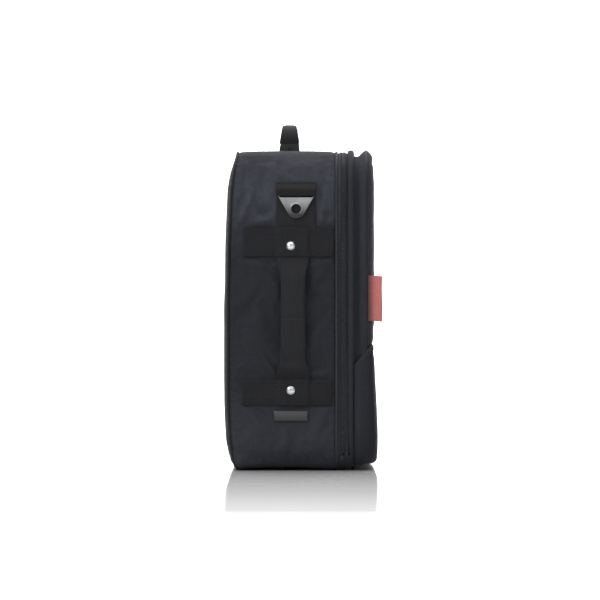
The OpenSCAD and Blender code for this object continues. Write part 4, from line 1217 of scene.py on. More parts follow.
LEFT, RIGHT = -1, 1
for side, pre in ((LEFT, "left"), (RIGHT, "right")):
    for nm, z0, z1, ya, yb, sd in (("upper", 281.5, 321.0, -38.5, 80.0, 2.0), ("lower", 86.0, 120.5, -36.0, 81.0, 4.0)):
        Q, V, F, uv = band(z0, z1, ya, yb, sd + side)
        V, F, uv = mirror_part(V, F, uv, side)
        ob = make(f"{pre}_{nm}_band_cloth", V, F, M_BAND, "case_body", uv, fix=False, replaces=(f"{pre}_{nm}_band",))
        # face outwards, then thicken inwards
        me = ob.data
        if (me.polygons[len(me.polygons) // 2].normal.x > 0) != (side > 0):
            me.flip_normals()
        solid(ob, 1.3)
        S2 = np.array([1.0, 1, 1]) if side < 0 else np.array([-1.0, 1, 1])
        off = np.array([side * 0.12, 0, 0])
        lines = []
        for inset in (1, 2):
            ii = {1: 2, 2: 4}[inset]
            lines += [(Q[2:-2, ii] * S2 + off, (side, 0, 0)), (Q[2:-2, -1 - ii] * S2 + off, (side, 0, 0))]
        for ii in (2, 5):
            lines += [(Q[ii, 2:-2] * S2 + off, (side, 0, 0)), (Q[-1 - ii, 2:-2] * S2 + off, (side, 0, 0))]
        # box round the rivet
        i0, i1 = [int(np.argmin(np.abs(Q[:, 0, 1] - v))) for v in (GRIP_Y - 21, GRIP_Y + 21)]
        for ii in (i0, i1):
            lines.append((Q[ii, 3:-3] * S2 + off, (side, 0, 0)))
        THREAD.append((lines, "case_body"))

    # webbing that the ring hangs from: a long base strip and a folded tab
    zc = np.linspace(316.5, RING_Z + 10, 28)
    c = np.stack([np.full_like(zc, -EX - 0.75), np.full_like(zc, RING_Y), zc], 1)
    p1 = strip(c, np.full(len(zc), 26.0), np.full(len(zc), 0.65))
    ax, az = -EX - 3.5, RING_Z
    pts = [(ax + 2.0, az + 9.6), (ax + 2.1, az + 7), (ax + 2.5, az + 4), (ax + 2.95, az + 1.6)]
    for a in np.linspace(0, -180, 13):
        pts.append((ax + 3.05 * math.cos(math.radians(a)), az + 3.05 * math.sin(math.radians(a))))
    pts += [(ax - 2.85, az + 1.8), (ax - 2.15, az + 4.0), (ax - 1.1, az + 6.2), (ax + 0.2, az + 8.0), (ax + 0.9, az + 9.4), (ax + 1.0, az + 10.4)]
    c = np.array([(x, RING_Y, z) for x, z in pts])
    p2 = strip(c, np.full(len(c), 22.0), np.full(len(c), 0.58))
    V, F, uv = join_parts([p1, p2])
    V, F, uv = mirror_part(V, F, uv, side)
    make(f"{pre}_ring_webbing", V, F, M_WEB, "case_body", uv, replaces=(f"{pre}_ring_tab",))
    S2 = np.array([side * -1.0, 1, 1])
    lines = []
    for dz, dx in ((7.1, -0.95), (9.0, 0.15)):
        lines.append(([(ax + dx - 0.62, RING_Y - 20, az + dz), (ax + dx - 0.62, RING_Y + 20, az + dz)] * S2, (side, 0, 0.2)))
    for yy in (RING_Y - 24.0, RING_Y + 24.0):
        lines.append(([(-EX - 1.5, yy, 324), (-EX - 1.5, yy, 358)] * S2, (side, 0, 0)))
    THREAD.append((lines, "case_body"))

    # flap over the ring's bar and its ears
    fl = [(-EX - 1.9, RING_Z + 12.6), (-EX - 2.3, RING_Z + 11.2), (-EX - 3.4, RING_Z + 9.2), (-EX - 5.2, RING_Z + 6.8), (-EX - 6.9, RING_Z + 4.4), (-EX - 7.75, RING_Z + 2.0)]
    fl += [(-EX - 7.95, RING_Z - 0.2), (-EX - 7.8, RING_Z - 2.4), (-EX - 7.4, RING_Z - 4.4), (-EX - 7.0, RING_Z - 5.4)]
    fl = np.array(fl)
    fd = np.concatenate([[0], np.cumsum(np.linalg.norm(np.diff(fl, axis=0), axis=1))])
    ft = np.linspace(0, fd[-1], 30)
    c = np.stack([np.interp(ft, fd, fl[:, 0]), np.full(30, RING_Y), np.interp(ft, fd, fl[:, 1])], 1)
    V, F, uv = strip(c, np.linspace(26.8, 26.2, 30), np.full(30, 0.6))
    V, F, uv = mirror_part(V, F, uv, side)
    ob = make(f"{pre}_ring_flap", V, F, M_FLAP, None, uv, replaces=(f"{pre}_ring_tab",))
    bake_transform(ob)

    # end handle: one strap in two halves that bend where they leave the bands
    def strap_x(z):
        """Middle plane of the strap from the middle of the grip (z = 201) out to the bands."""
        d = abs(z - 201.0)
        f = float(sstep(50, 84, d) if z > 201 else sstep(62, 83, d))
        return -EX - (7.2 * (1 - f) + 1.6 * f)

    for half, za, zb, nm in ((1, 201.0, 308.0, "upper"), (-1, 201.0, 94.0, "lower")):
        zs = np.concatenate([np.linspace(za, za + half * 60, 24), np.linspace(za + half * 62, zb, 22)])
        c = np.array([(strap_x(z), GRIP_Y, z) for z in zs])
        d = np.abs(zs - 201.0)
        wide = 16.2 + (4.6 if half > 0 else 6.6) * sstep(52, 78, d) - (6.0 if half > 0 else 8.0) * sstep(81, 90, d)
        thick = 2.15 - 1.15 * sstep(40, 62, d)

        def crown(Q, sec):
            for j, (a, b) in enumerate(sec):
                if b > 0.5 or b < -0.5:
                    q = (1 - a * a) * (0.9 - 0.7 * sstep(44, 60, d))
                    Q[:, j, 0] += (-q if b * half > 0 else q * 0.3) if True else 0
            for i in range(len(Q)):
                Q[i, :, 0] += 0.25 * noise.noise(Vector((zs[i] / 17, side * 3.0, 1.0)))
            return Q
        V, F, uv = strip(c, wide, thick, None)
        # padded middle: crown the outer face
        Vn = V.reshape(len(zs), -1, 3)
        for i in range(len(zs)):
            fat = 1.5 * (1 - float(sstep(44, 60, d[i])))
            yy = (Vn[i, :, 1] - GRIP_Y) / wide[i]
            outer = Vn[i, :, 0] < c[i, 0]
            Vn[i, :, 0] -= np.where(outer, fat * np.clip(1 - yy ** 2, 0, 1) ** 0.7, -0.3 * fat * np.clip(1 - yy ** 2, 0, 1))
            Vn[i, :, 0] += 0.22 * noise.noise(Vector((zs[i] / 15, side * 3.0, 1.0))) * (1 if d[i] < 80 else 0)
        V = Vn.reshape(-1, 3)
        V, F, uv = mirror_part(V, F, uv, side)
        ob = make(f"{pre}_handle_{nm}", V, F, M_SGRIP, None, uv, replaces=(f"{pre}_side_grip", f"{pre}_strap_ends"))
        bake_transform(ob)
        # thread along both edges
        lines = []
        for yy in (-0.86, 0.86):
            m = d < 79
            fat = 1.5 * (1 - sstep(44, 60, d)) * np.clip(1 - yy ** 2, 0, 1) ** 0.7
            xs = c[:, 0] - thick - fat - 0.1
            lines.append((np.stack([xs, GRIP_Y + yy * wide, zs], 1)[m] * S2, (side, 0, 0)))
        for zz in (201 + half * 47.0, 201 + half * 50.5):
            lines.append(([(strap_x(zz) - 2.45, GRIP_Y - 13.5, zz), (strap_x(zz) - 2.75, GRIP_Y, zz), (strap_x(zz) - 2.45, GRIP_Y + 13.5, zz)] * S2, (side, 0, 0)))
        SV, SF = stitches([(np.asarray(a), np.asarray(b, float)) for a, b in lines])
        st = make(f"{pre}_handle_{nm}_thread", SV, SF, M_THREAD, None, uv=np.zeros((sum(len(f) for f in SF), 2)), fix=False)
        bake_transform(st)


# rivets: domed caps with a rolled rim
def lathe(prof, n=40):
    prof = np.asarray(prof, float)
    V, F = [], []
    m = len(prof)
    for r, h in prof:
        for i in range(n):
            a = 2 * PI * i / n
            V.append((r * math.cos(a), r * math.sin(a), h))
    for k in range(m - 1):
        for i in range(n):
            j = (i + 1) % n
            F.append((k * n + i, k * n + j, (k + 1) * n + j, (k + 1) * n + i))
    F.append(tuple(range(n - 1, -1, -1)))
    F.append(tuple((m - 1) * n + i for i in range(n)))
    return np.array(V), F


CAP = [(5.35, -0.3), (5.45, 0.1), (5.3, 0.4), (4.95, 0.45), (4.8, 0.7), (4.65, 1.15), (4.2, 1.75), (3.5, 2.25), (2.6, 2.62), (1.65, 2.85), (0.75, 2.95), (0.1, 2.97)]
parts = []
for side in (LEFT, RIGHT):
    for z in (RIV_HI, RIV_LO):
        V, F = lathe(CAP)
        W = np.stack([side * (EX + 3.75 + V[:, 2]), RIV_Y + V[:, 0], z + side * V[:, 1]], 1)
        parts.append((W, F, np.zeros((sum(len(f) for f in F), 2))))
V, F, uv = join_parts(parts)
make("rivet_caps", V, F, M_RIVET, "case_body", uv, replaces=("side_rivets",))


# stamped strap ring with rounded edges
def ring_plate(side, pre):
    bm = bmesh.new()
    hz0, pr = RING_Z - 22.5, 12.0
    d = (26.5, 21.5)
    ta = math.atan2(d[1], d[0]) - math.acos(pr / math.hypot(*d))
    out = [(-26.6, RING_Z - 0.6), (-26.0, RING_Z + 0.9), (-24.6, RING_Z + 1.5), (24.6, RING_Z + 1.5), (26.0, RING_Z + 0.9), (26.6, RING_Z - 0.6)]
    for a in np.linspace(ta, -PI - ta, 26):
        out.append((pr * math.cos(a), hz0 + pr * math.sin(a)))
    slot = [(22.6, RING_Z - 1.5), (-22.6, RING_Z - 1.5), (-22.6, RING_Z - 5.6), (-21.2, RING_Z - 7.0), (21.2, RING_Z - 7.0), (22.6, RING_Z - 5.6)]
    hole = [(6.5 * math.cos(a), hz0 + 6.5 * math.sin(a)) for a in np.linspace(0, 2 * PI, 41)[:-1]]
    loops = []
    for pts in (out, slot, hole):
        vs = [bm.verts.new(((side * (EX + 3.5)) * MM, (RING_Y + y) * MM, z * MM)) for y, z in pts]
        loops.append([bm.edges.new((vs[i], vs[(i + 1) % len(vs)])) for i in range(len(vs))])
    bmesh.ops.triangle_fill(bm, use_beauty=True, use_dissolve=False, edges=[e for lp in loops for e in lp], normal=Vector((-1, 0, 0)))
    ext = bmesh.ops.extrude_face_region(bm, geom=bm.faces[:])
    mv = [g for g in ext["geom"] if isinstance(g, bmesh.types.BMVert)]
    bmesh.ops.translate(bm, verts=mv, vec=Vector((1.5 * MM, 0, 0)))
    for v in bm.verts:
        if v not in mv:
            v.co.x -= 1.5 * MM
    bmesh.ops.recalc_face_normals(bm, faces=bm.faces)
    # raised collar round the hole, as stamping leaves
    me = bpy.data.meshes.new(f"{pre}_ring_plate")
    bm.to_mesh(me)
    bm.free()
    me.polygons.foreach_set("use_smooth", [True] * len(me.polygons))
    ob = bpy.data.objects.new(f"{pre}_ring_plate", me)
    bpy.context.scene.collection.objects.link(ob)
    me.materials.append(M_RINGM)
    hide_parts(f"{pre}_strap_ring")
    bevel(ob, 0.7, 3, 40)
    w = ob.modifiers.new("wn", "WEIGHTED_NORMAL")
    w.keep_sharp = True
    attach(ob, f"{pre}_ring")
    # round bar inside the webbing, and the pressed collar
    Vb, Fb, ub = tube_along(np.array([(side * (EX + 3.5), RING_Y + t, RING_Z) for t in np.linspace(-25, 25, 12)]), 1.95, 14)
    ang = np.linspace(0, 2 * PI, 49)[:-1]
    Q = np.empty((48, 8, 3))
    for i, a in enumerate(ang):
        for k in range(8):
            g = 2 * PI * k / 8
            rad = 7.3 + 0.8 * math.cos(g)
            Q[i, k] = (side * (EX + 3.5 + 1.45 + 0.55 * math.sin(g)), RING_Y + rad * math.cos(a), hz0 + rad * math.sin(a))
    Vc, Fc, uc = grid(Q, closed_u=True, closed_v=True)
    V, F, uv = join_parts([(Vb, Fb, ub), (Vc, [tuple(f) for f in Fc], uc)])
    make(f"{pre}_ring_bar", V, F, M_RINGM, f"{pre}_ring", uv)


ring_plate(LEFT, "left")
ring_plate(RIGHT, "right")


# blank label: moulded patch with a raised border
def label():
    y0, y1, z0, z1 = RIV_Y - 22.7, RIV_Y + 22.7, 65.0, 79.2
    ny, nzv = 60, 26
    ys, zs = np.linspace(y0, y1, ny), np.linspace(z0, z1, nzv)
    Q = np.empty((ny, nzv, 3))
    for i, y in enumerate(ys):
        for j, z in enumerate(zs):
            e = float(inside(np.array(y), np.array(z), y0, y1, z0, z1, 2.5))
            h = 1.0 + 0.5 * math.exp(-((e - 1.5) / 0.7) ** 2) - 0.9 * math.exp(-max(e, 0) / 0.35) - 0.25 * float(sstep(2.4, 3.4, e))
            g = (z - z0) / (z1 - z0)
            h += 2.3 * math.sin(PI * (g / 0.84 if g < 0.42 else 0.5 + (g - 0.42) / 1.16)) ** 0.9 * (0.8 + 0.2 * math.cos((y - RIV_Y) / 23 * PI / 2)) * float(sstep(0, 2.5, e))
            Q[i, j] = (-EX - 0.25 - max(h, 0.05), y, z)
    V, F, uv = grid(Q, flip=False, U=np.append(ys, 0) * MM, Vv=np.append(zs, 0) * MM)
    ob = make("label_blank", V, F, M_LABEL, "case_body", uv, fix=False, replaces=("label_patch",))
    if ob.data.polygons[len(ob.data.polygons) // 2].normal.x > 0:
        ob.data.flip_normals()
    solid(ob, 0.9)


label()

# ------------------------------------------------------------------ top handle
def handle_w(z):
    return float(np.interp(z, [PIN_Z, PIN_Z + 3.5, PIN_Z + 8, HZ - 14, HZ - 4, HZ], [6.2, 9.8, 13.6, 11.8, 9.6, 8.2]))


def top_handle():
    c = []
    for x, z in [(-HAND_X, PIN_Z + 1.0), (-HAND_X, PIN_Z + 4), (-HAND_X, PIN_Z + 7), (-HAND_X, PIN_Z + 10), (-HAND_X, HZ - 21)]:
        c.append((x, z))
    for a in np.linspace(180, 90, 14)[1:]:
        c.append((-HAND_X + 16.7 + 16.7 * math.cos(math.radians(a)), HZ - 21 + 16.7 * math.sin(math.radians(a))))
    left = c
    mid = [(x, HZ - 4.3) for x in np.linspace(-HAND_X + 24, HAND_X - 24, 28)]
    right = [(-x, z) for x, z in left[::-1]]
    pts = np.array([(x, HAND_Y, z) for x, z in left + mid + right])
    wide = np.array([handle_w(p[2]) for p in pts])
    thick = np.interp(np.abs(pts[:, 0]), [0, 66, 84, 92], [3.9, 3.9, 4.2, 4.6])
    V, F, uv = strip(pts, wide, thick)
    ob = make("top_handle_webbing", V, F, M_GRIP, "top_handle", uv, replaces=("top_handle_strap",))
    # loops that turn on the pins
    parts = []
    for s in (-1, 1):
        xs = np.linspace(-6.0, 6.0, 9)
        Q = np.empty((9, 24, 3))
        for i, x in enumerate(xs):
            r = 4.5 - 0.5 * (abs(x) / 6) ** 4
            for k in range(24):
                a = 2 * PI * k / 24
                Q[i, k] = (s * HAND_X + x, HAND_Y + r * math.cos(a), PIN_Z + r * math.sin(a))
        q = grid(Q, closed_v=True)
        F2 = [tuple(f) for f in q[1]] + [tuple(range(24)), tuple(8 * 24 + k for k in range(24))]
        parts.append((q[0], F2, np.concatenate([q[2], np.zeros((48, 2))])))
    V, F, uv = join_parts(parts)
    make("top_handle_loops", V, F, M_GRIP, "top_handle", uv)
    # padded sleeve with gathered ends and a seam underneath
    xs = np.concatenate([[-58.2], np.linspace(-57.6, 57.6, 64), [58.2]])
    n = 40
    Q = np.empty((len(xs), n, 3))
    for i, x in enumerate(xs):
        e = min(1.0, (58.4 - abs(x)) / 7.0)
        puff = 0.86 + 0.14 * math.sin(e * PI / 2)
        for k in range(n):
            a = 2 * PI * k / n
            cy, cz = math.cos(a), math.sin(a)
            ry, rz = 11.2 * puff, 6.0 * puff
            q = 0.66
            z = math.copysign(abs(cz) ** q, cz) * rz
            y = math.copysign(abs(cy) ** q, cy) * ry * (1 - 0.14 * (z / 6.0 + 0.3))
            w = 0.28 * math.sin(x / 2.1 + 5 * noise.noise(Vector((x / 20, a, 2)))) * math.exp(-(58 - abs(x)) / 7) + 0.35 * noise.noise(Vector((x / 24, cy * 2, cz * 2)))
            seam = -0.9 * math.exp(-((a - 1.5 * PI) / 0.10) ** 2)
            Q[i, k] = (x, HAND_Y + y * (1 + 0.02 * w), HZ - 4.5 + z + w * 0.5 * cz - seam * 1.0)
    q = grid(Q, closed_v=True, U=np.append(xs, 0) * MM, Vv=np.linspace(0, 62, n + 1) * MM)
    F = [tuple(f) for f in q[1]] + [tuple(range(n)), tuple((len(xs) - 1) * n + k for k in range(n))]
    uv = np.concatenate([q[2], np.zeros((2 * n, 2))])
    make("top_handle_sleeve", q[0], F, M_NYLON, "top_handle", uv, replaces=("top_handle_grip",))
    lines = []
    for yy in (-0.8, 0.8):
        for s in (-1, 1):
            seg = [(p, w, t) for p, w, t in zip(pts, wide, thick) if p[0] * s > 59 and p[2] > PIN_Z + 9]
            P3 = []
            N3 = []
            cs = np.array([a[0] for a in seg])
            T = np.gradient(cs, axis=0)
            T /= np.linalg.norm(T, axis=1)[:, None]
            B = np.cross(T, (0, 1.0, 0))
            sgn = np.sign((B[:, 2:3] + B[:, 0:1] * s) + 1e-6)
            B = B * sgn
            P3 = cs + np.array([0, 1, 0]) * (np.array([a[1] for a in seg]) * yy)[:, None] + B * (np.array([a[2] for a in seg]) + 0.05)[:, None]
            lines.append((P3, B))
    for s in (-1, 1):
        lines.append(([(s * 54.5, HAND_Y + y, HZ - 4.5 + 5.75 + 0.0 * y) for y in np.linspace(-7, 7, 7)], (0, 0, 1)))
    THREAD.append((lines, "top_handle"))


top_handle()


# moulded anchors of the top handle: a plate with two wide cheeks that hold the pin
def anchors():
    bm = bmesh.new()

    def slab(loops, place, vec):
        """Flat outline with holes, pushed out along vec."""
        edges, new = [], []
        for pts in loops:
            vs = [bm.verts.new(Vector(place(a, b)) * MM) for a, b in pts]
            new += vs
            edges += [bm.edges.new((vs[i], vs[(i + 1) % len(vs)])) for i in range(len(vs))]
        fill = bmesh.ops.triangle_fill(bm, use_beauty=True, use_dissolve=False, edges=edges)
        faces = [g for g in fill["geom"] if isinstance(g, bmesh.types.BMFace)]
        ext = bmesh.ops.extrude_face_region(bm, geom=faces)
        bmesh.ops.translate(bm, verts=[g for g in ext["geom"] if isinstance(g, bmesh.types.BMVert)], vec=Vector(vec) * MM)

    def corner(cx, cy, r, a0, a1):
        return [(cx + r * math.cos(math.radians(a)), cy + r * math.sin(math.radians(a))) for a in np.linspace(a0, a1, 6)]

    hole = [(2.06 * math.cos(a), PIN_Z + 2.06 * math.sin(a)) for a in np.linspace(0, 2 * PI, 25)[:-1]]
    cheek = [(-13.9, 422.3), (13.9, 422.3)] + corner(9.6, 430.2, 3.6, 0, 90) + corner(-9.6, 430.2, 3.6, 90, 180)
    for s in (-1, 1):
        xa, xb = HAND_X - 12, HAND_X + 20
        plate = corner(xb - 3, 13.0, 3.0, 0, 90) + corner(xa + 3, 13.0, 3.0, 90, 180) + corner(xa + 3, -13.0, 3.0, 180, 270) + corner(xb - 3, -13.0, 3.0, 270, 360)
        slab([plate], lambda a, b: (s * a, HAND_Y + b, 420.0), (0, 0, 2.5))
        for x in (HAND_X - 8.5, HAND_X + 6.5):
            slab([cheek, hole], lambda a, b: (s * x, HAND_Y + a, b), (s * 2.0, 0, 0))
            # a foot along the plate
            foot = [(-12.6, 422.4), (12.6, 422.4), (12.2, 424.0), (-12.2, 424.0)]
            xo = x + 2.0 if x > HAND_X else x
            slab([foot], lambda a, b: (s * xo, HAND_Y + a, b), (s * (0.9 if x > HAND_X else -0.9), 0, 0))
    bmesh.ops.recalc_face_normals(bm, faces=bm.faces)
    me = bpy.data.meshes.new("handle_anchor_plates")
    bm.to_mesh(me)
    bm.free()
    ob = bpy.data.objects.new("handle_anchor_plates", me)
    bpy.context.scene.collection.objects.link(ob)
    me.materials.append(M_PLASTIC)
    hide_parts("handle_anchors")
    bevel(ob, 0.5, 2, 40)
    w = ob.modifiers.new("wn", "WEIGHTED_NORMAL")
    w.keep_sharp = True
    me.polygons.foreach_set("use_smooth", [True] * len(me.polygons))
    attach(ob, "case_body")


anchors()

# ------------------------------------------------------------------ fabric hinge along the bottom
def hinge_strip():
    Pp, Nn, Ss = rr(0.0, 3.0)
    idx = np.where(Pp[:, 1] < 21.5)[0]
    br = np.where(np.diff(idx) > 1)[0]
    idx = np.concatenate([idx[br[0] + 1:], idx[:br[0] + 1]])
    p, n = Pp[idx], Nn[idx]
    s = np.concatenate([[0], np.cumsum(np.linalg.norm(np.diff(p, axis=0), axis=1))])
    # (depth, inset): from the body's piping, under the hinge line, to the lid rim
    prof = np.array([(-43.3, 0.5), (-45.0, 0.55), (-46.7, 0.7), (-48.3, 0.9), (-49.8, 1.1), (-51.2, 1.2), (-52.6, 1.2), (-54.0, 1.2), (-55.4, 1.2), (-56.8, 1.3), (-58.4, 1.7), (-60.0, 2.6), (-61.6, 3.9), (-62.8, 4.7)])
    Q = np.empty((len(p), len(prof), 3))
    for i in range(len(p)):
        x, z = p[i]
        nx, nn = n[i]
        for k, (y, d) in enumerate(prof):
            f = k / (len(prof) - 1)
            # on the ends the strip meets the rim further out than under the foot
            dd = d if nn < -0.9 else d * (0.25 + 0.75 * max(0.0, -nn))
            w = 0.3 * noise.noise(Vector((s[i] / 20, y / 9, 3))) * math.sin(PI * f)
            q = 0.45 + dd + w
            Q[i, k] = (x - nx * q, y, max(0.2, z - nn * q))
    V, F, uv = grid(Q, flip=True, U=np.append(s, 0) * MM, Vv=np.append(prof[:, 0], 0) * MM)
    ob = make("hinge_cloth", V, F, M_TAPE, None, uv, fix=False, replaces=("hinge_sleeve", "hinge_tabs", "hinge_cord"))
    solid(ob, 0.7, 0.0)
    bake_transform(ob)


hinge_strip()

# ------------------------------------------------------------------ inside
def lining_ring():
    sec = rbox2(D_IN, -7.8, -38.2, 85.0, 2.2, 4)
    # more rows across the flat inner face so that it can swell
    out = []
    for i in range(len(sec)):
        a, b = sec[i], sec[(i + 1) % len(sec)]
        out.append(a)
        if abs(a[1] - b[1]) > 60:
            for t in np.linspace(0, 1, 22)[1:-1]:
                out.append((a[0] + (b[0] - a[0]) * t, a[1] + (b[1] - a[1]) * t))

    def mod(P, N, S, D, Y):
        for i in range(len(P)):
            x, z = P[i]
            inn = D[i] < D_IN + 0.5
            t = np.clip((Y[i] + 38) / 122, 0, 1)
            w = 0.5 * noise.noise(Vector((S[i] / 40, 2.0, 5)))
            D[i] = np.where(inn, D[i] + 0.9 * np.exp(-((t - 0.5) / 0.03) ** 2) + 0.35 * w * np.sin(PI * t), D[i])
        return D, Y
    V, F, uv = sweep(rr(0.0, 4.0), out, mod=mod)
    ob = make("wall_lining", V, F, M_LINING, "case_body", uv, replaces=("wall_foam", "wall_board"))
    # binding along the front lip
    V, F, uv = sweep(rr(0.0, 4.0), [(-4.6, -36.5), (-4.8, -38.6), (-6.0, -39.4), (-10.0, -39.4), (-12.2, -38.6), (-12.9, -36.6), (-12.75, -30.5), (-12.2, -30.3), (-12.0, -36.8), (-9.5, -38.2), (-6.0, -38.2), (-4.5, -36.4)], mod=wavy(0.12, 25, 12))
    make("lining_lip", V, F, M_PIPE, "case_body", uv)


lining_ring()


def pad_panel(name, x0, x1, z0, z1, r, y_face, y_back, sign, replaces, body, quilt=None, nu=86, nv=78):
    """Lined foam panel: crowned face with sewn channels and a flat back."""
    G = patch(x0, x1, z0, z1, r, nu, nv)
    x, z = G[..., 0], G[..., 1]
    e = np.maximum(inside(x, z, x0, x1, z0, z1, r), 0)
    crown = 1.6 * (1 - (1 - np.clip(e / 22, 0, 1)) ** 2) - 1.6
    if quilt:
        q = np.full(x.shape, 1e9)
        for k, v in quilt:
            q = np.minimum(q, np.abs((x if k == "x" else z) - v))
        crown = crown - 1.5 * np.exp(-(q / 3.2) ** 2) * np.clip(e / 6, 0, 1)
    for i in range(nu):
        for j in range(nv):
            crown[i, j] += 0.3 * nz(x[i, j], y_face, z[i, j], 45, 51) * min(1, e[i, j] / 10)
    yf = y_face + sign * crown
    Qf = np.stack([x, yf, z], -1)
    Qb = np.stack([x, np.full_like(x, y_back), z], -1)
    A = grid(Qf, U=x * MM, Vv=z * MM)
    B = grid(Qb, flip=True, U=x * MM, Vv=z * MM)
    rim = [(i, 0) for i in range(nu)] + [(nu - 1, j) for j in range(1, nv)] + [(i, nv - 1) for i in range(nu - 2, -1, -1)] + [(0, j) for j in range(nv - 2, 0, -1)]
    o = nu * nv
    F = [tuple(f) for f in A[1]] + [tuple(int(k) + o for k in f) for f in B[1]]
    uv = [A[2], B[2]]
    for a in range(len(rim)):
        p, q = rim[a], rim[(a + 1) % len(rim)]
        ia, ib = p[0] * nv + p[1], q[0] * nv + q[1]
        F.append((ia, ib, ib + o, ia + o))
        uv.append(np.array([(0, a * 0.005), (0, a * 0.005 + 0.005), (0.008, a * 0.005 + 0.005), (0.008, a * 0.005)]))
    ob = make(name, np.concatenate([A[0], B[0]]), F, M_LINING, body, np.concatenate(uv), replaces=replaces)
    return ob


pad_panel("back_lining", -217.2, 217.2, 12.8, 407.2, 32.4, Y_IN, Y_IN + 7.8, -1, ("back_pad", "back_board"), "case_body", quilt=[("x", -108), ("x", 108), ("z", 110), ("z", 210), ("z", 310)])
pad_panel("lid_lining", -EX + 7.8, EX - 7.8, ZB_LID + 7.8, H - 7.8, 37.2, Y_LF + 12.4, Y_LF + 2.5, 1, ("lid_foam", "lid_board"), "lid", quilt=[("x", -110), ("x", 0), ("x", 110), ("z", 115), ("z", 215), ("z", 315)])


def divider(name, x0, x1, y0, y1, z0, z1, flat, node, body):
    """Padded divider: soft faces, bound front edge. flat: the thin axis, 'x' or 'z'."""
    lo, hi = np.array([x0, y0, z0]), np.array([x1, y1, z1])
    k = {"x": 0, "z": 2}[flat]
    other = [a for a in (0, 1, 2) if a != k]
    u, v = other
    nu = max(12, int((hi[u] - lo[u]) / 7))
    nv = max(12, int((hi[v] - lo[v]) / 7))
    sheets = []
    for s in (-1, 1):
        Q = np.empty((nu, nv, 3))
        for i in range(nu):
            for j in range(nv):
                a, b = i / (nu - 1), j / (nv - 1)
                p = np.zeros(3)
                p[u] = lo[u] + (hi[u] - lo[u]) * a
                p[v] = lo[v] + (hi[v] - lo[v]) * b
                e = min(a * (hi[u] - lo[u]), (1 - a) * (hi[u] - lo[u]), b * (hi[v] - lo[v]), (1 - b) * (hi[v] - lo[v]))
                h = (hi[k] - lo[k]) / 2
                t = 1 - (1 - min(1, e / 14)) ** 2.4
                th = h * (0.45 + 0.55 * t) - 0.5 * math.exp(-((e - 6.5) / 1.2) ** 2)
                th += 0.2 * nz(p[0], p[1], p[2], 38, 61 + s) * t
                p[k] = (lo[k] + hi[k]) / 2 + s * min(th, h + 0.1)
                Q[i, j] = p
        sheets.append(Q)
    A = grid(sheets[0], U=np.arange(nu + 1) * 0.007, Vv=np.arange(nv + 1) * 0.007)
    B = grid(sheets[1], flip=True, U=np.arange(nu + 1) * 0.007, Vv=np.arange(nv + 1) * 0.007)
    rim = [(i, 0) for i in range(nu)] + [(nu - 1, j) for j in range(1, nv)] + [(i, nv - 1) for i in range(nu - 2, -1, -1)] + [(0, j) for j in range(nv - 2, 0, -1)]
    o = nu * nv
    F = [tuple(f) for f in A[1]] + [tuple(int(q) + o for q in f) for f in B[1]]
    uv = [A[2], B[2]]
    for a in range(len(rim)):
        p, q = rim[a], rim[(a + 1) % len(rim)]
        ia, ib = p[0] * nv + p[1], q[0] * nv + q[1]
        F.append((ia, ib, ib + o, ia + o))
        uv.append(np.zeros((4, 2)))
    ob = make(name, np.concatenate([A[0], B[0]]), F, M_LINING, body, np.concatenate(uv), replaces=(node,))
    # tape along the front edge
    n = 40
    c = np.zeros((n, 3))
    ax = u if u != 1 else v
    c[:, ax] = np.linspace(lo[ax] + 0.5, hi[ax] - 0.5, n)
    c[:, 1] = y0 + 1.2
    c[:, k] = (lo[k] + hi[k]) / 2
    V, F, uv = tube_along(c, 3.4, 12, squash_dir=(0, 1, 0), squash=1.0)
    make(name + "_binding", V, F, M_PIPE, body, uv)


XI, ZLO, ZHI = EX + D_IN, -D_IN, H + D_IN
divider("centre_divider_pad", -6, 6, -30, Y_IN - 0.4, ZLO + 0.2, ZHI - 0.2, "x", "centre_divider", "case_body")
divider("left_cross_pad", -XI + 1.9, -7.9, -30, Y_IN - 0.5, 150, 162, "z", "left_cross_divider", "left_divider")
divider("right_cross_pad", 7.9, XI - 1.9, -30, Y_IN - 0.5, 250, 262, "z", "right_cross_divider", "right_divider")

# ------------------------------------------------------------------ seams: thread beside the zip, round the pad and along the binding
P, N, S = rr(0.0, 3.0)
def ring_line(path, d, y, keep=None):
    P, N, S = path
    q = np.stack([P[:, 0] + N[:, 0] * d, np.full(len(P), y), P[:, 1] + N[:, 1] * d], 1)
    n3 = np.stack([N[:, 0], np.zeros(len(P)), N[:, 1]], 1)
    if keep is not None:
        idx = np.where(keep)[0]
        br = np.where(np.diff(idx) > 1)[0]
        if len(br):
            idx = np.concatenate([idx[br[0] + 1:], idx[:br[0] + 1]])
        return q[idx], n3[idx]
    return np.concatenate([q, q[:1]]), np.concatenate([n3, n3[:1]])


THREAD.append(([ring_line(BODY_PATH, -0.72, -45.6), ring_line(BODY_PATH, -1.2, -49.0 + 0.9, ABOVE)], "case_body"))
RK = RIM_PATH[0][:, 1] > 12
THREAD.append(([ring_line(RIM_PATH, 0.35, -58.1, RK)], "lid"))
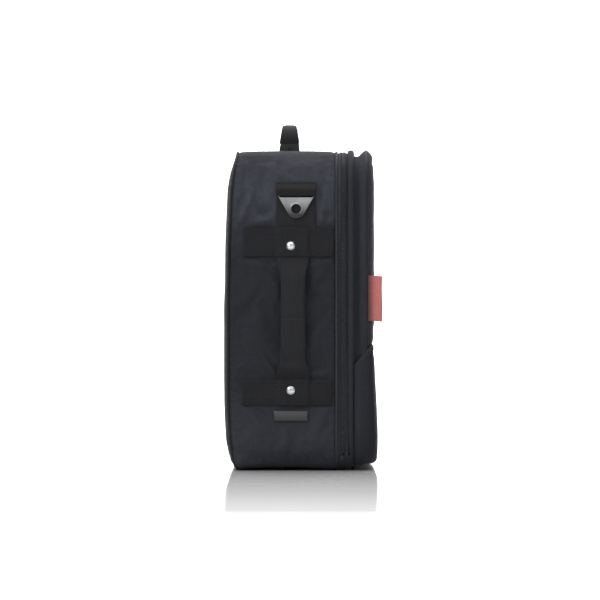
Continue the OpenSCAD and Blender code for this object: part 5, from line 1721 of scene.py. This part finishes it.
# pad outline
th = []
pts = []
for hx0, hx1, z0, z1, r in ((PAD[0] - 3.4, PAD[1] + 3.4, PAD[2] - 3.4, PAD[3] + 3.4, 29.0),):
    for cx, cz, a0 in ((hx1 - r, z1 - r, 0), (hx0 + r, z1 - r, 90), (hx0 + r, z0 + r, 180), (hx1 - r, z0 + r, 270)):
        for a in np.linspace(a0, a0 + 90, 12):
            pts.append((cx + r * math.cos(math.radians(a)), cz + r * math.sin(math.radians(a))))
    pts.append(pts[0])
pts = np.array(pts)
dd = np.concatenate([[0], np.cumsum(np.linalg.norm(np.diff(pts, axis=0), axis=1))])
tt = np.linspace(0, dd[-1], 420)
px, pz = np.interp(tt, dd, pts[:, 0]), np.interp(tt, dd, pts[:, 1])
line = np.array([(a, lid_y(a, b) - 0.15, b) for a, b in zip(px, pz)])
THREAD.append(([(line, (0, -1, 0))], "lid"))
mb = PQ[:, -1] + np.array([0, -0.95, -4.6])
THREAD.append(([(mb, (0, -1, 0))], "lid"))

groups = {}
for lines, body in THREAD:
    groups.setdefault(body, []).extend(lines)
for body, lines in groups.items():
    SV, SF = stitches([(np.asarray(a, float), np.asarray(b, float)) for a, b in lines])
    make(f"thread_{body}", SV, SF, M_THREAD, body, uv=np.zeros((sum(len(f) for f in SF), 2)), fix=False)

# ------------------------------------------------------------------ floor, light, camera
def stage():
    m, n, l, b = new_mat("floor_white", (0.9, 0.9, 0.9), 0.9, spec=0.0)
    nt = m.node_tree
    out = n["Material Output"]
    gl = n.new("ShaderNodeBsdfGlossy")
    gl.inputs["Color"].default_value = (1, 1, 1, 1)
    gl.inputs["Roughness"].default_value = 0.05
    mx = n.new("ShaderNodeMixShader")
    # polished under the object, matt away from it
    tc = n.new("ShaderNodeTexCoord")
    sx = n.new("ShaderNodeSeparateXYZ")
    l.new(tc.outputs["Object"], sx.inputs[0])
    mr = n.new("ShaderNodeMapRange")
    mr.inputs["From Min"].default_value = -1.6
    mr.inputs["From Max"].default_value = 1.2
    l.new(sx.outputs[0], mr.inputs["Value"])
    fade = ramp(n, l, mr.outputs[0], [(0.0, (0, 0, 0)), (0.086, (0.52, 0.52, 0.52)), (0.264, (0.68, 0.68, 0.68)), (0.486, (0.82, 0.82, 0.82)), (0.66, (0.82, 0.82, 0.82)), (0.86, (0, 0, 0))])
    lw = n.new("ShaderNodeLayerWeight")
    gz = n.new("ShaderNodeMapRange")
    gz.inputs["From Min"].default_value = 0.70
    gz.inputs["From Max"].default_value = 0.93
    l.new(lw.outputs["Facing"], gz.inputs["Value"])
    l.new(mth(n, l, "MULTIPLY", fade, gz.outputs[0]), mx.inputs[0])
    l.new(b.outputs[0], mx.inputs[1])
    l.new(gl.outputs[0], mx.inputs[2])
    l.new(mx.outputs[0], out.inputs[0])
    # lit from within towards the back, so that it stays white behind the object
    em = n.new("ShaderNodeMapRange")
    em.inputs["From Min"].default_value = 1.5
    em.inputs["From Max"].default_value = 5.5
    em.inputs["To Max"].default_value = 1.1
    l.new(sx.outputs[0], em.inputs["Value"])
    l.new(em.outputs[0], b.inputs["Emission Strength"])
    b.inputs["Emission Color"].default_value = (1, 1, 1, 1)
    prof = [(-10.0, 0.0), (8.4, 0.0)]
    for a in np.linspace(0, 90, 16)[1:]:
        prof.append((8.4 + 1.6 * math.sin(math.radians(a)), 1.6 - 1.6 * math.cos(math.radians(a))))
    prof.append((10.0, 6.0))
    ys = (-10.0, 10.0)
    V = [(x, y, z) for x, z in prof for y in ys]
    F = [(2 * i, 2 * i + 1, 2 * i + 3, 2 * i + 2) for i in range(len(prof) - 1)]
    me = bpy.data.meshes.new("floor")
    me.from_pydata(V, [], F)
    me.polygons.foreach_set("use_smooth", [True] * len(me.polygons))
    me.flip_normals()
    me.materials.append(m)
    ob = bpy.data.objects.new("floor", me)
    bpy.context.scene.collection.objects.link(ob)


stage()


def area(name, loc, target, size, energy, color=(1, 1, 1), sy=None):
    li = bpy.data.lights.new(name, "AREA")
    li.energy = energy
    li.color = color
    li.size = size
    if sy:
        li.shape = "RECTANGLE"
        li.size_y = sy
    ob = bpy.data.objects.new(name, li)
    ob.location = loc
    ob.rotation_euler = (Vector(target) - Vector(loc)).to_track_quat("-Z", "Y").to_euler()
    bpy.context.scene.collection.objects.link(ob)
    return ob


area("top_soft", (-0.9, 0.0, 4.6), (-0.9, 0, 0.0), 8.0, 560, sy=8.0)
area("back_soft", (2.6, 0.0, 3.2), (3.2, 0, 0.0), 4.0, 90, sy=2.5)
key = area("key_soft", (-1.9, 2.2, 1.9), (-0.23, 0, 0.25), 0.9, 58)
fill = area("front_fill", (1.3, -2.5, 1.8), (0.0, -0.09, 0.22), 0.9, 34)
# these two light the case only: the floor is bright enough without them
if "floor" in bpy.data.objects:
    off = bpy.data.collections.new("key_off")
    off.objects.link(bpy.data.objects["floor"])
    key.light_linking.receiver_collection = off
    fill.light_linking.receiver_collection = off
    off.collection_objects[0].light_linking.link_state = "EXCLUDE"
area("left_soft", (-3.0, 2.4, 1.3), (-0.1, 0, 0.25), 1.6, 10)
area("right_soft", (-2.8, -2.4, 1.2), (-0.1, 0, 0.25), 1.6, 10)

w = bpy.context.scene.world or bpy.data.worlds.new("World")
bpy.context.scene.world = w
w.use_nodes = True
w.node_tree.nodes["Background"].inputs[0].default_value = (1, 1, 1, 1)
w.node_tree.nodes["Background"].inputs[1].default_value = 0.3
bpy.context.scene.view_settings.view_transform = "Standard"

cam = bpy.data.cameras.new("cam")
D = 6.0
cam.sensor_width = 36
cam.lens = 36 * D / (600 * 1.32 * MM) * 1.004
cam.clip_end = 60
co = bpy.data.objects.new("cam", cam)
co.location = (-EX * MM - D, 0.0059, 0.2248)
co.rotation_euler = (PI / 2, 0, -PI / 2)
bpy.context.scene.collection.objects.link(co)
bpy.context.scene.camera = co
